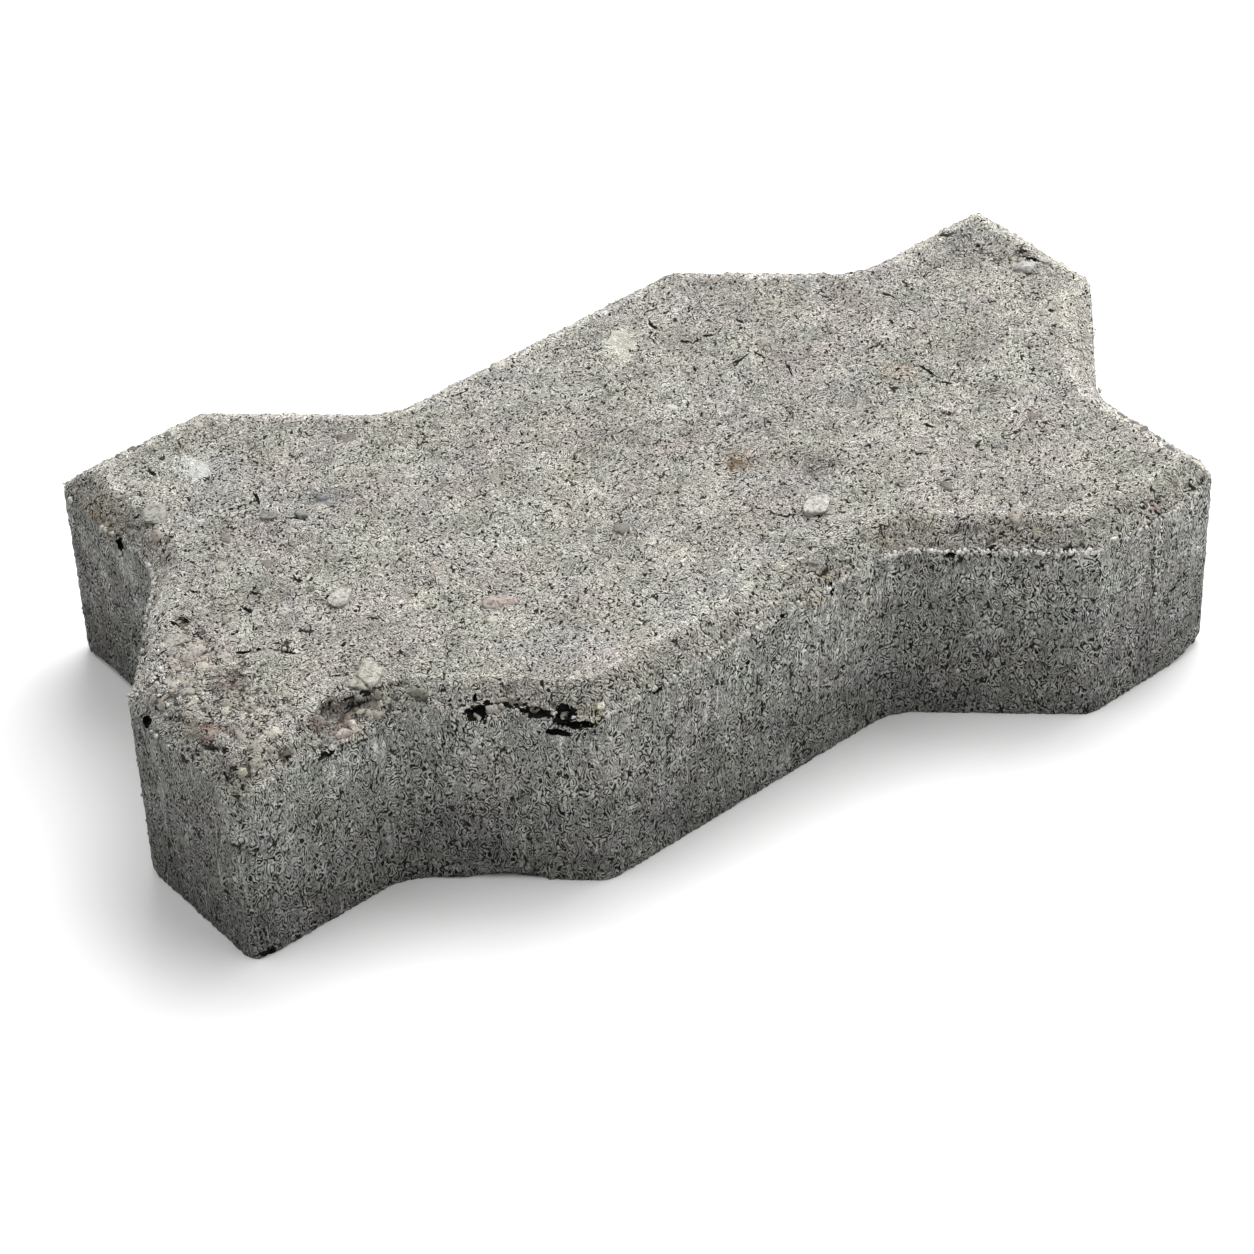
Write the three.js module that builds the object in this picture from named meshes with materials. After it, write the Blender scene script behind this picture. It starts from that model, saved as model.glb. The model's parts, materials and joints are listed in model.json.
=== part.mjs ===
// An interlocking concrete paving stone, cast in one piece.
//
// The stone is twice as long as it is wide and lies on its flat underside. Every side is the same
// zig-zag run of one module, which bends inward at one third and outward at two thirds, and the two
// long sides hold two such runs. So the stones fit into each other lengthways, crossways and turned
// a quarter round. The sides stand square to the underside, and a chamfer runs round the top.
//
// Units are millimetres, +X runs along the stone, +Z is up, and the origin is the middle of the
// underside.
import * as THREE from "three";

// Laying module: what one stone and its share of the joints take up in the paving.
const MODULE_LENGTH = 225;
const MODULE_WIDTH = 112.5;
const JOINT = 3;
const LONG_SIDE_RUN_COUNT = 2;
const SHORT_SIDE_RUN_COUNT = 1;

// Zig-zag: how far each bend stands in or out from the straight line between two corners.
const ZIGZAG_DEPTH = 10;
const INWARD_BEND_AT = 1 / 3;
const OUTWARD_BEND_AT = 2 / 3;

// Rounding of the mould plates, measured on the vertical sides.
const HOLLOW_RADIUS = 15;
const CREST_RADIUS = 6;
const CORNER_RADIUS = 4;
const SMALLEST_RADIUS = 0.4;

// Height of the stone, and the chamfer round its top.
const THICKNESS = 50;
const CHAMFER_WIDTH = 5;
const CHAMFER_HEIGHT = 5;
const CHAMFER_TOP_RADIUS = 4;

// Fineness of the rounded stretches.
const OUTLINE_ARC_STEP = THREE.MathUtils.degToRad(5);
const PROFILE_ARC_STEP = THREE.MathUtils.degToRad(12);

const concrete = new THREE.MeshStandardMaterial({
  name: "concrete",
  color: 0x9b9790,
  roughness: 0.94,
  metalness: 0,
});

// Turns a direction a quarter round, to its left.
function leftOf(direction) {
  return new THREE.Vector2(-direction.y, direction.x);
}

// The corner at start, followed by the bends of all runs between start and end. The stone lies to
// the left of the way from start to end.
function zigzagSide(start, end, runs) {
  const direction = end.clone().sub(start).normalize();
  const inward = leftOf(direction);
  const runLength = start.distanceTo(end) / runs;
  const bends = [{ point: start, radius: CORNER_RADIUS }];
  for (let run = 0; run < runs; run++) {
    const hollow = start.clone().addScaledVector(direction, (run + INWARD_BEND_AT) * runLength);
    const crest = start.clone().addScaledVector(direction, (run + OUTWARD_BEND_AT) * runLength);
    hollow.addScaledVector(inward, ZIGZAG_DEPTH);
    crest.addScaledVector(inward, -ZIGZAG_DEPTH);
    bends.push({ point: hollow, radius: HOLLOW_RADIUS }, { point: crest, radius: CREST_RADIUS });
  }
  return bends;
}

// All bends of the module's outline, counter-clockwise from the corner at -X, -Y.
function moduleOutline() {
  const x = MODULE_LENGTH / 2;
  const y = MODULE_WIDTH / 2;
  const corners = [
    new THREE.Vector2(-x, -y),
    new THREE.Vector2(x, -y),
    new THREE.Vector2(x, y),
    new THREE.Vector2(-x, y),
  ];
  return corners.flatMap((corner, side) => {
    const next = corners[(side + 1) % corners.length];
    const runs = side % 2 === 0 ? LONG_SIDE_RUN_COUNT : SHORT_SIDE_RUN_COUNT;
    return zigzagSide(corner, next, runs);
  });
}

// The directions of the edges that come into and go out of a point of a closed outline.
function edgesAt(points, index) {
  const before = points[(index + points.length - 1) % points.length];
  const after = points[(index + 1) % points.length];
  const coming = points[index].clone().sub(before);
  const going = after.clone().sub(points[index]);
  return { coming, going };
}

// Moves every edge of a closed outline inward by a distance, and mitres the corners.
function insetPoints(points, distance) {
  return points.map((point, index) => {
    const { coming, going } = edgesAt(points, index);
    const comingInward = leftOf(coming.normalize());
    const goingInward = leftOf(going.normalize());
    const mitre = distance / (1 + comingInward.dot(goingInward));
    return point.clone().addScaledVector(comingInward.add(goingInward), mitre);
  });
}

// The angle from one edge to the next, positive to the left.
function turnBetween(coming, going) {
  return Math.atan2(coming.cross(going), coming.dot(going));
}

// The points of an arc that rounds the corner between two edges. The radius is cut back where the
// edges are too short for it.
function roundCorner(corner, coming, going, wantedRadius, steps) {
  const turn = turnBetween(coming, going);
  const spread = Math.tan(Math.abs(turn) / 2);
  const room = Math.min(coming.length(), going.length()) / 2;
  const radius = Math.min(wantedRadius, room / spread);
  const toCentre = leftOf(coming.clone().normalize()).multiplyScalar(Math.sign(turn) * radius);
  const centre = corner
    .clone()
    .addScaledVector(coming.clone().normalize(), -radius * spread)
    .add(toCentre);
  const spoke = toCentre.negate();
  return Array.from({ length: steps + 1 }, (_, step) => {
    const angle = (turn * step) / steps;
    return spoke.clone().rotateAround(new THREE.Vector2(), angle).add(centre);
  });
}

// The bends of the vertical sides: the module's, less half a joint all round. Each knows its turn,
// which is to the left at a crest or a corner and to the right at a hollow.
function sideBends() {
  const bends = moduleOutline();
  const modulePoints = bends.map((bend) => bend.point);
  const points = insetPoints(modulePoints, JOINT / 2);
  return bends.map(({ radius }, index) => {
    const { coming, going } = edgesAt(points, index);
    return { point: points[index], radius, turn: turnBetween(coming, going) };
  });
}

// The rounded outline of the stone at a distance inside its vertical sides. A hollow grows wider as
// it moves inward, while a crest or a corner grows sharper.
function outlineLoop(bends, inset) {
  const sidePoints = bends.map((bend) => bend.point);
  const points = insetPoints(sidePoints, inset);
  return points.flatMap((point, index) => {
    const { radius, turn } = bends[index];
    const { coming, going } = edgesAt(points, index);
    const insetRadius = radius - Math.sign(turn) * inset;
    const steps = Math.ceil(Math.abs(turn) / OUTLINE_ARC_STEP);
    return roundCorner(point, coming, going, Math.max(insetRadius, SMALLEST_RADIUS), steps);
  });
}

// The upright section through one side, from the underside to the top: x is the distance inside the
// vertical side and y is the height.
function sideProfile() {
  const arris = new THREE.Vector2(0, THICKNESS - CHAMFER_HEIGHT);
  const chamferTop = new THREE.Vector2(CHAMFER_WIDTH, THICKNESS);
  const chamfer = chamferTop.clone().sub(arris);
  const level = new THREE.Vector2(2 * chamfer.length(), 0);
  const steps = Math.ceil(chamfer.angle() / PROFILE_ARC_STEP);
  const shoulder = roundCorner(chamferTop, chamfer, level, CHAMFER_TOP_RADIUS, steps);
  return [new THREE.Vector2(0, 0), arris, ...shoulder];
}

// Joins loops of equal length, one above the other, into a closed solid with flat ends.
function loftedSolid(loops) {
  const count = loops[0].length;
  const positions = loops.flat().flatMap((point) => point.toArray());
  const triangles = [];
  for (let level = 0; level + 1 < loops.length; level++) {
    for (let i = 0; i < count; i++) {
      const a = level * count + i;
      const b = level * count + ((i + 1) % count);
      triangles.push(a, b, b + count, a, b + count, a + count);
    }
  }
  const underside = THREE.ShapeUtils.triangulateShape(loops[0], []);
  underside.forEach(([a, b, c]) => triangles.push(c, b, a));
  const topStart = (loops.length - 1) * count;
  const top = THREE.ShapeUtils.triangulateShape(loops.at(-1), []);
  top.forEach(([a, b, c]) => triangles.push(topStart + a, topStart + b, topStart + c));

  const geometry = new THREE.BufferGeometry();
  geometry.setAttribute("position", new THREE.Float32BufferAttribute(positions, 3));
  geometry.setIndex(triangles);
  geometry.computeVertexNormals();
  return geometry;
}

// The whole stone: the outline follows the section of the side up to the top face.
function pavingStone() {
  const bends = sideBends();
  const loops = sideProfile().map((section) =>
    outlineLoop(bends, section.x).map((point) => new THREE.Vector3(point.x, point.y, section.y)),
  );
  const stone = new THREE.Mesh(loftedSolid(loops), concrete);
  stone.name = "paving_stone";
  return stone;
}

const part = new THREE.Group();
part.add(pavingStone());

export default part;
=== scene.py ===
import json
import math

import bmesh
import bpy
import numpy as np
from mathutils import Matrix, Vector, noise

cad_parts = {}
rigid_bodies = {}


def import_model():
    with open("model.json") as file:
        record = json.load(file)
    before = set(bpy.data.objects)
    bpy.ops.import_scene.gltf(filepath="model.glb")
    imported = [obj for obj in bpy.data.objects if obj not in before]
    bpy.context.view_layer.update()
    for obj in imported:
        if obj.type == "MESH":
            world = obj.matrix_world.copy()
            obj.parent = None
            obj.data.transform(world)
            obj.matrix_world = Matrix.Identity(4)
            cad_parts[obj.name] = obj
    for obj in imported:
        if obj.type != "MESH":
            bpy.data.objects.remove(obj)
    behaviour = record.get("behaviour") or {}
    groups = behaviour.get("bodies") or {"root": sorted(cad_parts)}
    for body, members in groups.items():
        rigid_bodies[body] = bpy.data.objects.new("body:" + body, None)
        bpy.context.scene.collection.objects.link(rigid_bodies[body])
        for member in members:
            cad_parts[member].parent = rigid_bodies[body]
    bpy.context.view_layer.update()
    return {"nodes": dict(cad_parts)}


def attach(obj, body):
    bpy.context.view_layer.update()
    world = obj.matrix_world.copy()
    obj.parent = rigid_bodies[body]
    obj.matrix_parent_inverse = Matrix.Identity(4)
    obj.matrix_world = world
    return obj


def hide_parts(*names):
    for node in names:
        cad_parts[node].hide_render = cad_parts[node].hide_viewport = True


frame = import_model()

MM = 0.001  # one millimetre in scene units
STONE_NODE = "paving_stone"


# ---------------------------------------------------------------- node helpers


class Tree:
    """Adds nodes to a node tree and wires their inputs."""

    def __init__(self, tree):
        self.tree = tree

    def node(self, kind, inputs=None, **settings):
        """A node of the kind, with its settings, then its inputs as values or as sockets to link."""
        made = self.tree.nodes.new(kind)
        for name, value in settings.items():
            setattr(made, name, value)
        for key, value in (inputs or {}).items():
            socket = made.inputs[key]
            if isinstance(value, bpy.types.NodeSocket):
                self.tree.links.new(value, socket)
            else:
                socket.default_value = value
        return made

    def link(self, source, target):
        self.tree.links.new(source, target)

    def math(self, operation, a, b=0.0, c=0.0, clamp=False):
        """One step of arithmetic."""
        made = self.node("ShaderNodeMath", {0: a, 1: b, 2: c}, operation=operation, use_clamp=clamp)
        return made.outputs[0]

    def times(self, a, b, clamp=False):
        return self.math("MULTIPLY", a, b, clamp=clamp)

    def plus(self, a, b):
        return self.math("ADD", a, b)

    def minus(self, a, b):
        return self.math("SUBTRACT", a, b)

    def times_plus(self, a, b, c):
        """a times b, plus c."""
        return self.math("MULTIPLY_ADD", a, b, c)

    def vector(self, operation, a, b=None, scale=None):
        """A vector made from one or two vectors, or from one and a scale."""
        inputs = {0: a}
        if b is not None:
            inputs[1] = b
        if scale is not None:
            inputs["Scale"] = scale
        return self.node("ShaderNodeVectorMath", inputs, operation=operation).outputs[0]

    def length(self, a):
        """How long a vector is."""
        return self.node("ShaderNodeVectorMath", {0: a}, operation="LENGTH").outputs[1]

    def split(self, a):
        """The three numbers of a vector or a colour."""
        return self.node("ShaderNodeSeparateXYZ", {0: a}).outputs

    def remap(self, value, from_low, from_high, to_low=0.0, to_high=1.0, smooth=True):
        """Value carried from one range to another, held at the ends."""
        settings = {"interpolation_type": "SMOOTHSTEP" if smooth else "LINEAR"}
        inputs = {
            "Value": value,
            "From Min": from_low,
            "From Max": from_high,
            "To Min": to_low,
            "To Max": to_high,
        }
        return self.node("ShaderNodeMapRange", inputs, **settings).outputs[0]

    def noise(self, vector, size, detail=2.0, roughness=0.5, distortion=0.0, color=False):
        """Cloudy noise with lumps about size across, in the vector's own unit."""
        inputs = {
            "Vector": vector,
            "Scale": 1.0 / size,
            "Detail": detail,
            "Roughness": roughness,
            "Distortion": distortion,
        }
        made = self.node("ShaderNodeTexNoise", inputs)
        return made.outputs["Color" if color else "Fac"]

    def spread(self, cloud, low, high):
        """Noise carried from the range that most of it lies in to the range from low to high."""
        return self.remap(cloud, 0.3, 0.7, low, high)

    def swirl(self, vector, size, detail):
        """A vector of noise about zero, to bend a pattern with."""
        cloud = self.noise(vector, size, detail, color=True)
        return self.vector("SUBTRACT", cloud, (0.5, 0.5, 0.5))

    def cells(self, vector, size, feature="F1"):
        """The voronoi node of cells about size across."""
        inputs = {"Vector": vector, "Scale": 1.0 / size}
        return self.node("ShaderNodeTexVoronoi", inputs, feature=feature)

    def mix(self, factor, a, b, blend="MIX"):
        """Two colours mixed by a factor."""
        made = self.node("ShaderNodeMix", data_type="RGBA", blend_type=blend, clamp_factor=True)
        for index, value in ((0, factor), (6, a), (7, b)):
            if isinstance(value, bpy.types.NodeSocket):
                self.tree.links.new(value, made.inputs[index])
            else:
                made.inputs[index].default_value = value
        return made.outputs[2]

    def lit(self, colour, level):
        """A colour made lighter or darker by a level."""
        grey = self.node("ShaderNodeCombineColor", {0: level, 1: level, 2: level}).outputs[0]
        return self.mix(1.0, colour, grey, "MULTIPLY")

    def painted(self, name):
        """What is painted on the points of the mesh under the name, as a shader reads it."""
        return self.node("ShaderNodeAttribute", attribute_name=name).outputs

    def ramp(self, factor, stops):
        """A colour read from stops of position to colour."""
        made = self.node("ShaderNodeValToRGB", {"Fac": factor})
        elements = made.color_ramp.elements
        while len(elements) < len(stops):
            elements.new(1.0)
        for element, (place, colour) in zip(elements, stops.items()):
            element.position = place
            element.color = colour
        return made.outputs[0]

    def random(self, low, high, seed):
        """A random number for each point, the same in every run."""
        inputs = {2: low, 3: high, "Seed": seed}
        return self.node("FunctionNodeRandomValue", inputs, data_type="FLOAT").outputs[1]

    def random_vector(self, low, high, seed):
        """A random vector for each point, the same in every run."""
        inputs = {0: low, 1: high, "Seed": seed}
        return self.node("FunctionNodeRandomValue", inputs, data_type="FLOAT_VECTOR").outputs[0]


# ---------------------------------------------------------------- marks that this stone carries

# Places are in mm from the middle of the underside. A turn is in degrees about Z.
# Near is -Y, far is +Y, left is -X and right is +X.
TOP = 50.0
ARRIS_HEIGHT = 45.0  # where the upright sides end and the chamfer begins
RUN_OUTWARD = 15.0  # turn of the long sides' runs that go outward
RUN_INWARD = -28.0  # turn of the runs that go into a hollow
END_RUN = -75.0  # turn of the outer runs of the short ends
ACROSS_VIEW = -23.0  # turn of a line that runs straight across the view

# Chips and holes: middle, half sizes (along the turn, across it, up), turn, shade of the broken face.
# DARK and EARTHY broken faces are painted near black and dark earthy brown: painted shade of the hole,
# with dirt.
DARK, EARTHY, BARE = 1.0, 0.55, 0.0
CHIPS = {
    "notch": ((-59.2, -52.5, 45.5), (2.6, 1.7, 1.8), RUN_INWARD, DARK),
    "notch_crack": ((-58.8, -50.6, 47.6), (0.5, 1.3, 0.7), RUN_INWARD, DARK),
    "notch_side": ((-56.9, -52.2, 46.9), (0.9, 0.5, 0.7), RUN_INWARD, DARK),
    "long_crack_start": ((-52.4, -54.8, 46.6), (3.6, 0.6, 0.7), -36.0, DARK),
    "long_crack": ((-48.6, -58.0, 45.5), (3.8, 1.1, 1.1), -36.0, DARK),
    "broken_arris": ((-43.8, -60.5, 45.4), (2.4, 1.7, 2.0), RUN_INWARD, DARK),
    "broken_arris_low": ((-42.0, -62.0, 43.0), (3.6, 1.5, 1.1), RUN_INWARD, DARK),
    "side_hole": ((-45.6, -60.4, 40.9), (2.6, 1.2, 1.1), RUN_INWARD, DARK),
    "corner_chip": ((-88.9, -48.5, 44.0), (1.6, 0.9, 0.8), RUN_OUTWARD, DARK),
    "corner_chip_shallow": ((-91.6, -49.1, 44.1), (1.6, 0.8, 0.9), RUN_OUTWARD, EARTHY),
    "end_hole": ((-118.7, -24.6, 44.9), (1.4, 1.5, 1.3), END_RUN, DARK),
    "mid_arris_chip": ((-23.9, -61.1, 44.4), (1.3, 0.8, 1.3), RUN_OUTWARD, DARK),
    "burr_gap": ((7.6, -52.9, 44.3), (1.3, 0.8, 0.8), RUN_OUTWARD, DARK),
    "burr_gap_tall": ((21.2, -48.9, 44.3), (0.6, 0.8, 2.2), RUN_OUTWARD, DARK),
    "chamfer_split": ((-3.4, -47.2, 48.6), (2.4, 0.7, 0.8), ACROSS_VIEW, DARK),
    "hollow_chip": ((48.3, -50.5, 44.2), (1.4, 0.8, 0.7), RUN_INWARD, DARK),
    "hollow_chip_tall": ((55.4, -54.0, 44.9), (0.9, 0.9, 1.7), RUN_INWARD, EARTHY),
    "stone_socket": ((73.7, -64.0, 44.2), (0.6, 0.7, 0.7), RUN_INWARD, DARK),
    "far_left_hole": ((-104.5, 32.6, 43.4), (1.2, 1.2, 1.9), END_RUN, DARK),
    "top_crack": ((-92.2, -20.5, TOP), (5.4, 0.7, 0.9), -31.0, DARK),
    # A dark cut that paints the shadow under the raised stone.
    "shadow_under_raised_stone": ((-79.5, -41.3, 49.4), (3.6, 0.8, 1.1), -4.0, DARK),
    "far_tip_pit": ((97.6, 43.8, 49.9), (1.7, 0.8, 0.8), ACROSS_VIEW, EARTHY),
    "far_tip_pit_small": ((102.0, 37.0, TOP), (0.7, 0.6, 0.7), ACROSS_VIEW, DARK),
    "far_tip_split": ((110.0, 27.0, TOP), (3.0, 0.6, 0.8), -60.0, DARK),
    "far_tip_hollow": ((109.4, 30.6, TOP), (1.3, 0.9, 0.8), -40.0, EARTHY),
    "side_pit": ((-1.0, -54.9, 37.4), (0.7, 0.6, 0.6), RUN_OUTWARD, DARK),
    "side_crack": ((97.6, -58.8, 22.2), (0.9, 0.5, 0.6), RUN_OUTWARD, DARK),
    "side_crack_middle": ((98.9, -58.4, 23.3), (0.8, 0.5, 0.5), RUN_OUTWARD, DARK),
    "side_crack_end": ((100.2, -58.0, 24.4), (0.9, 0.5, 0.5), RUN_OUTWARD, DARK),
    "side_crack_foot": ((95.4, -59.4, 19.6), (0.5, 0.5, 1.2), RUN_OUTWARD, EARTHY),
    "side_crack_right": ((102.4, -57.4, 18.2), (1.0, 0.5, 0.4), RUN_OUTWARD, DARK),
    "foot_chip": ((-108.2, -53.6, 1.0), (1.7, 1.0, 1.6), RUN_OUTWARD, DARK),
    "spall": ((-84.2, -44.4, 49.2), (7.0, 4.2, 2.8), RUN_OUTWARD, BARE),
    "near_end_spall": ((-104.0, -17.0, 50.7), (8.0, 11.0, 1.4), END_RUN, BARE),
    "near_tip_wear": ((-107.5, -52.8, 46.6), (4.2, 2.4, 1.3), 0.0, BARE),
    "worn_foot_left": ((-108.6, 46.0, 0.0), (13.0, 1.5, 2.2), END_RUN, BARE),
    "worn_foot_right": ((106.0, -57.0, 0.0), (7.0, 1.6, 3.0), RUN_OUTWARD, BARE),
    "worn_foot_tip": ((111.0, -54.0, 0.0), (3.0, 2.6, 2.8), 0.0, BARE),
    "worn_foot_hollow": ((-57.0, -54.6, 0.0), (13.0, 1.5, 2.2), RUN_INWARD, BARE),
}

# Narrow crevices, their faces painted dark as shade: middle, half length, half width, turn.
CREVICES = {
    "end_crack_long": ((-92.2, -20.5, TOP), 4.7, 0.56, -31.0),
    "end_crack_slant": ((-106.4, -21.2, TOP), 2.6, 0.42, -62.0),
    "end_crevice_upper": ((-107.5, -24.8, TOP), 1.9, 0.56, -63.0),
    "end_crevice_low": ((-111.3, -40.8, 48.7), 2.4, 0.50, -69.0),
    "end_crevice_low_right": ((-109.2, -44.2, 49.5), 1.2, 0.50, -51.0),
    "end_crevice_corner": ((-115.7, -38.4, 44.8), 1.8, 0.40, -73.0),
    "tip_crevice": ((-109.4, -48.8, 48.4), 1.4, 0.40, -26.0),
    "tip_gap": ((-110.7, -49.5, 46.9), 1.7, 0.40, -86.0),
    "tip_line": ((-110.5, -53.0, 44.9), 1.4, 0.40, -31.0),
    "side_hole_near_tip": ((-98.0, -48.8, 47.0), 0.8, 0.71, 4.0),
    "tip_pit": ((-105.7, -48.5, 49.2), 0.8, 0.50, 13.0),
    "shadow_under_stone": ((-79.5, -41.2, 49.4), 2.7, 0.50, -1.0),
    "shadow_under_stone_right": ((-75.6, -41.1, 49.4), 1.8, 0.50, 8.0),
    "stone_left_crevice": ((-76.4, -34.2, TOP), 1.4, 0.42, -34.0),
    "stone_left_crevice_low": ((-80.7, -34.4, TOP), 1.9, 0.42, -13.0),
    "end_brown_crevice": ((-105.0, -4.3, TOP), 1.7, 0.42, -66.0),
    "end_brown_crevice_right": ((-102.7, -4.3, TOP), 1.5, 0.42, -62.0),
    "end_rim_crevice": ((-114.9, -23.8, 49.4), 0.8, 0.40, 82.0),
    "end_left_crevice": ((-110.2, -11.2, 49.9), 1.4, 0.42, 23.0),
    "top_crevice_a": ((-90.4, -6.5, TOP), 1.6, 0.56, -72.0),
    "end_top_crevice": ((-103.4, -16.9, TOP), 1.2, 0.56, 8.0),
    "end_small_pit": ((-105.9, -10.1, TOP), 0.9, 0.42, -49.0),
    "far_pit_a": ((-76.6, 18.6, TOP), 1.5, 0.34, -51.0),
    "far_pit_b": ((-70.5, 15.7, TOP), 2.1, 0.34, -39.0),
    "far_pit_c": ((-75.7, 25.9, TOP), 2.3, 0.45, 81.0),
    "far_pit_d": ((-77.7, -2.5, TOP), 1.4, 0.56, -70.0),
    "far_pit_e": ((-86.8, -2.9, TOP), 1.3, 0.45, -46.0),
    "far_pit_f": ((-97.7, 2.9, TOP), 1.4, 0.45, -55.0),
    "far_pit_g": ((-74.3, -10.7, TOP), 1.0, 0.56, 19.0),
    "far_split": ((-92.5, 44.9, TOP), 2.0, 0.45, -78.0),
    "far_dot": ((-97.8, 42.3, TOP), 0.7, 0.83, -29.0),
    "far_arc_left": ((-100.2, 32.6, 49.2), 1.2, 0.31, -18.0),
    "far_arc": ((-97.6, 32.1, TOP), 1.8, 0.56, -21.0),
    "far_arc_right": ((-96.2, 30.0, TOP), 1.8, 0.56, 88.0),
    "far_low_pit": ((-84.5, 17.0, TOP), 0.8, 0.56, -57.0),
    "back_gap_far": ((24.0, 43.0, TOP), 1.7, 0.50, -75.0),
    "back_gap_left": ((27.8, 34.2, TOP), 1.7, 0.52, -59.0),
    "back_gap_bend": ((33.6, 34.2, TOP), 1.6, 0.52, -13.0),
    "back_gap_behind": ((41.8, 35.5, TOP), 1.1, 0.46, -60.0),
    "middle_gap_left": ((35.0, 22.6, TOP), 2.5, 0.48, 25.0),
    "middle_gap_bend": ((40.3, 22.2, TOP), 1.7, 0.48, -68.0),
    "middle_gap_low": ((43.6, 15.2, TOP), 1.9, 0.44, 85.0),
    "right_gap_upper": ((64.0, 14.0, TOP), 2.0, 0.46, 15.0),
    "right_gap_middle": ((64.6, 3.6, TOP), 0.9, 0.50, -60.0),
    "right_gap_low": ((69.8, 0.8, TOP), 2.5, 0.48, -75.0),
    "right_gap_end": ((71.2, -4.6, TOP), 1.4, 0.50, -40.0),
    "right_gap_back": ((75.3, 29.5, TOP), 1.7, 0.46, -60.0),
    "right_gap_dot": ((71.2, 20.3, TOP), 0.9, 0.50, -50.0),
    "near_gap_right": ((61.0, -16.3, TOP), 1.2, 0.48, -50.0),
    "top_pit_b": ((81.5, -29.1, TOP), 0.8, 0.45, -39.0),
    "top_pit_c": ((86.2, -29.6, TOP), 0.8, 0.45, -35.0),
}
CREVICE_DEPTH = 0.8

# Patches where the cement skin has worn off the stones: middle, half sizes, turn, how far.
WORN_PATCHES = {
    "near_end": ((-106.0, -24.0, TOP), (20.0, 9.5, 9.0), END_RUN, 0.9),
    "near_tip": ((-104.0, -49.5, 48.0), (8.0, 4.0, 5.0), RUN_OUTWARD, 0.42),
    "spall": ((-82.0, -43.5, 48.0), (9.0, 4.0, 5.0), RUN_OUTWARD, 0.8),
    "far_left": ((-102.5, 33.0, 48.0), (10.0, 5.0, 5.0), END_RUN, 0.3),
    "far_tip": ((105.0, 31.0, TOP), (12.0, 5.5, 5.0), -52.0, 0.6),
    "notch": ((-46.0, -56.0, 47.0), (14.0, 4.5, 5.0), RUN_INWARD, 0.28),
    "left_middle": ((-86.0, -4.0, TOP), (15.0, 11.0, 5.0), ACROSS_VIEW, 0.24),
}
LEAST_WORN = 0.02  # how far the rest of the top is worn
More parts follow.
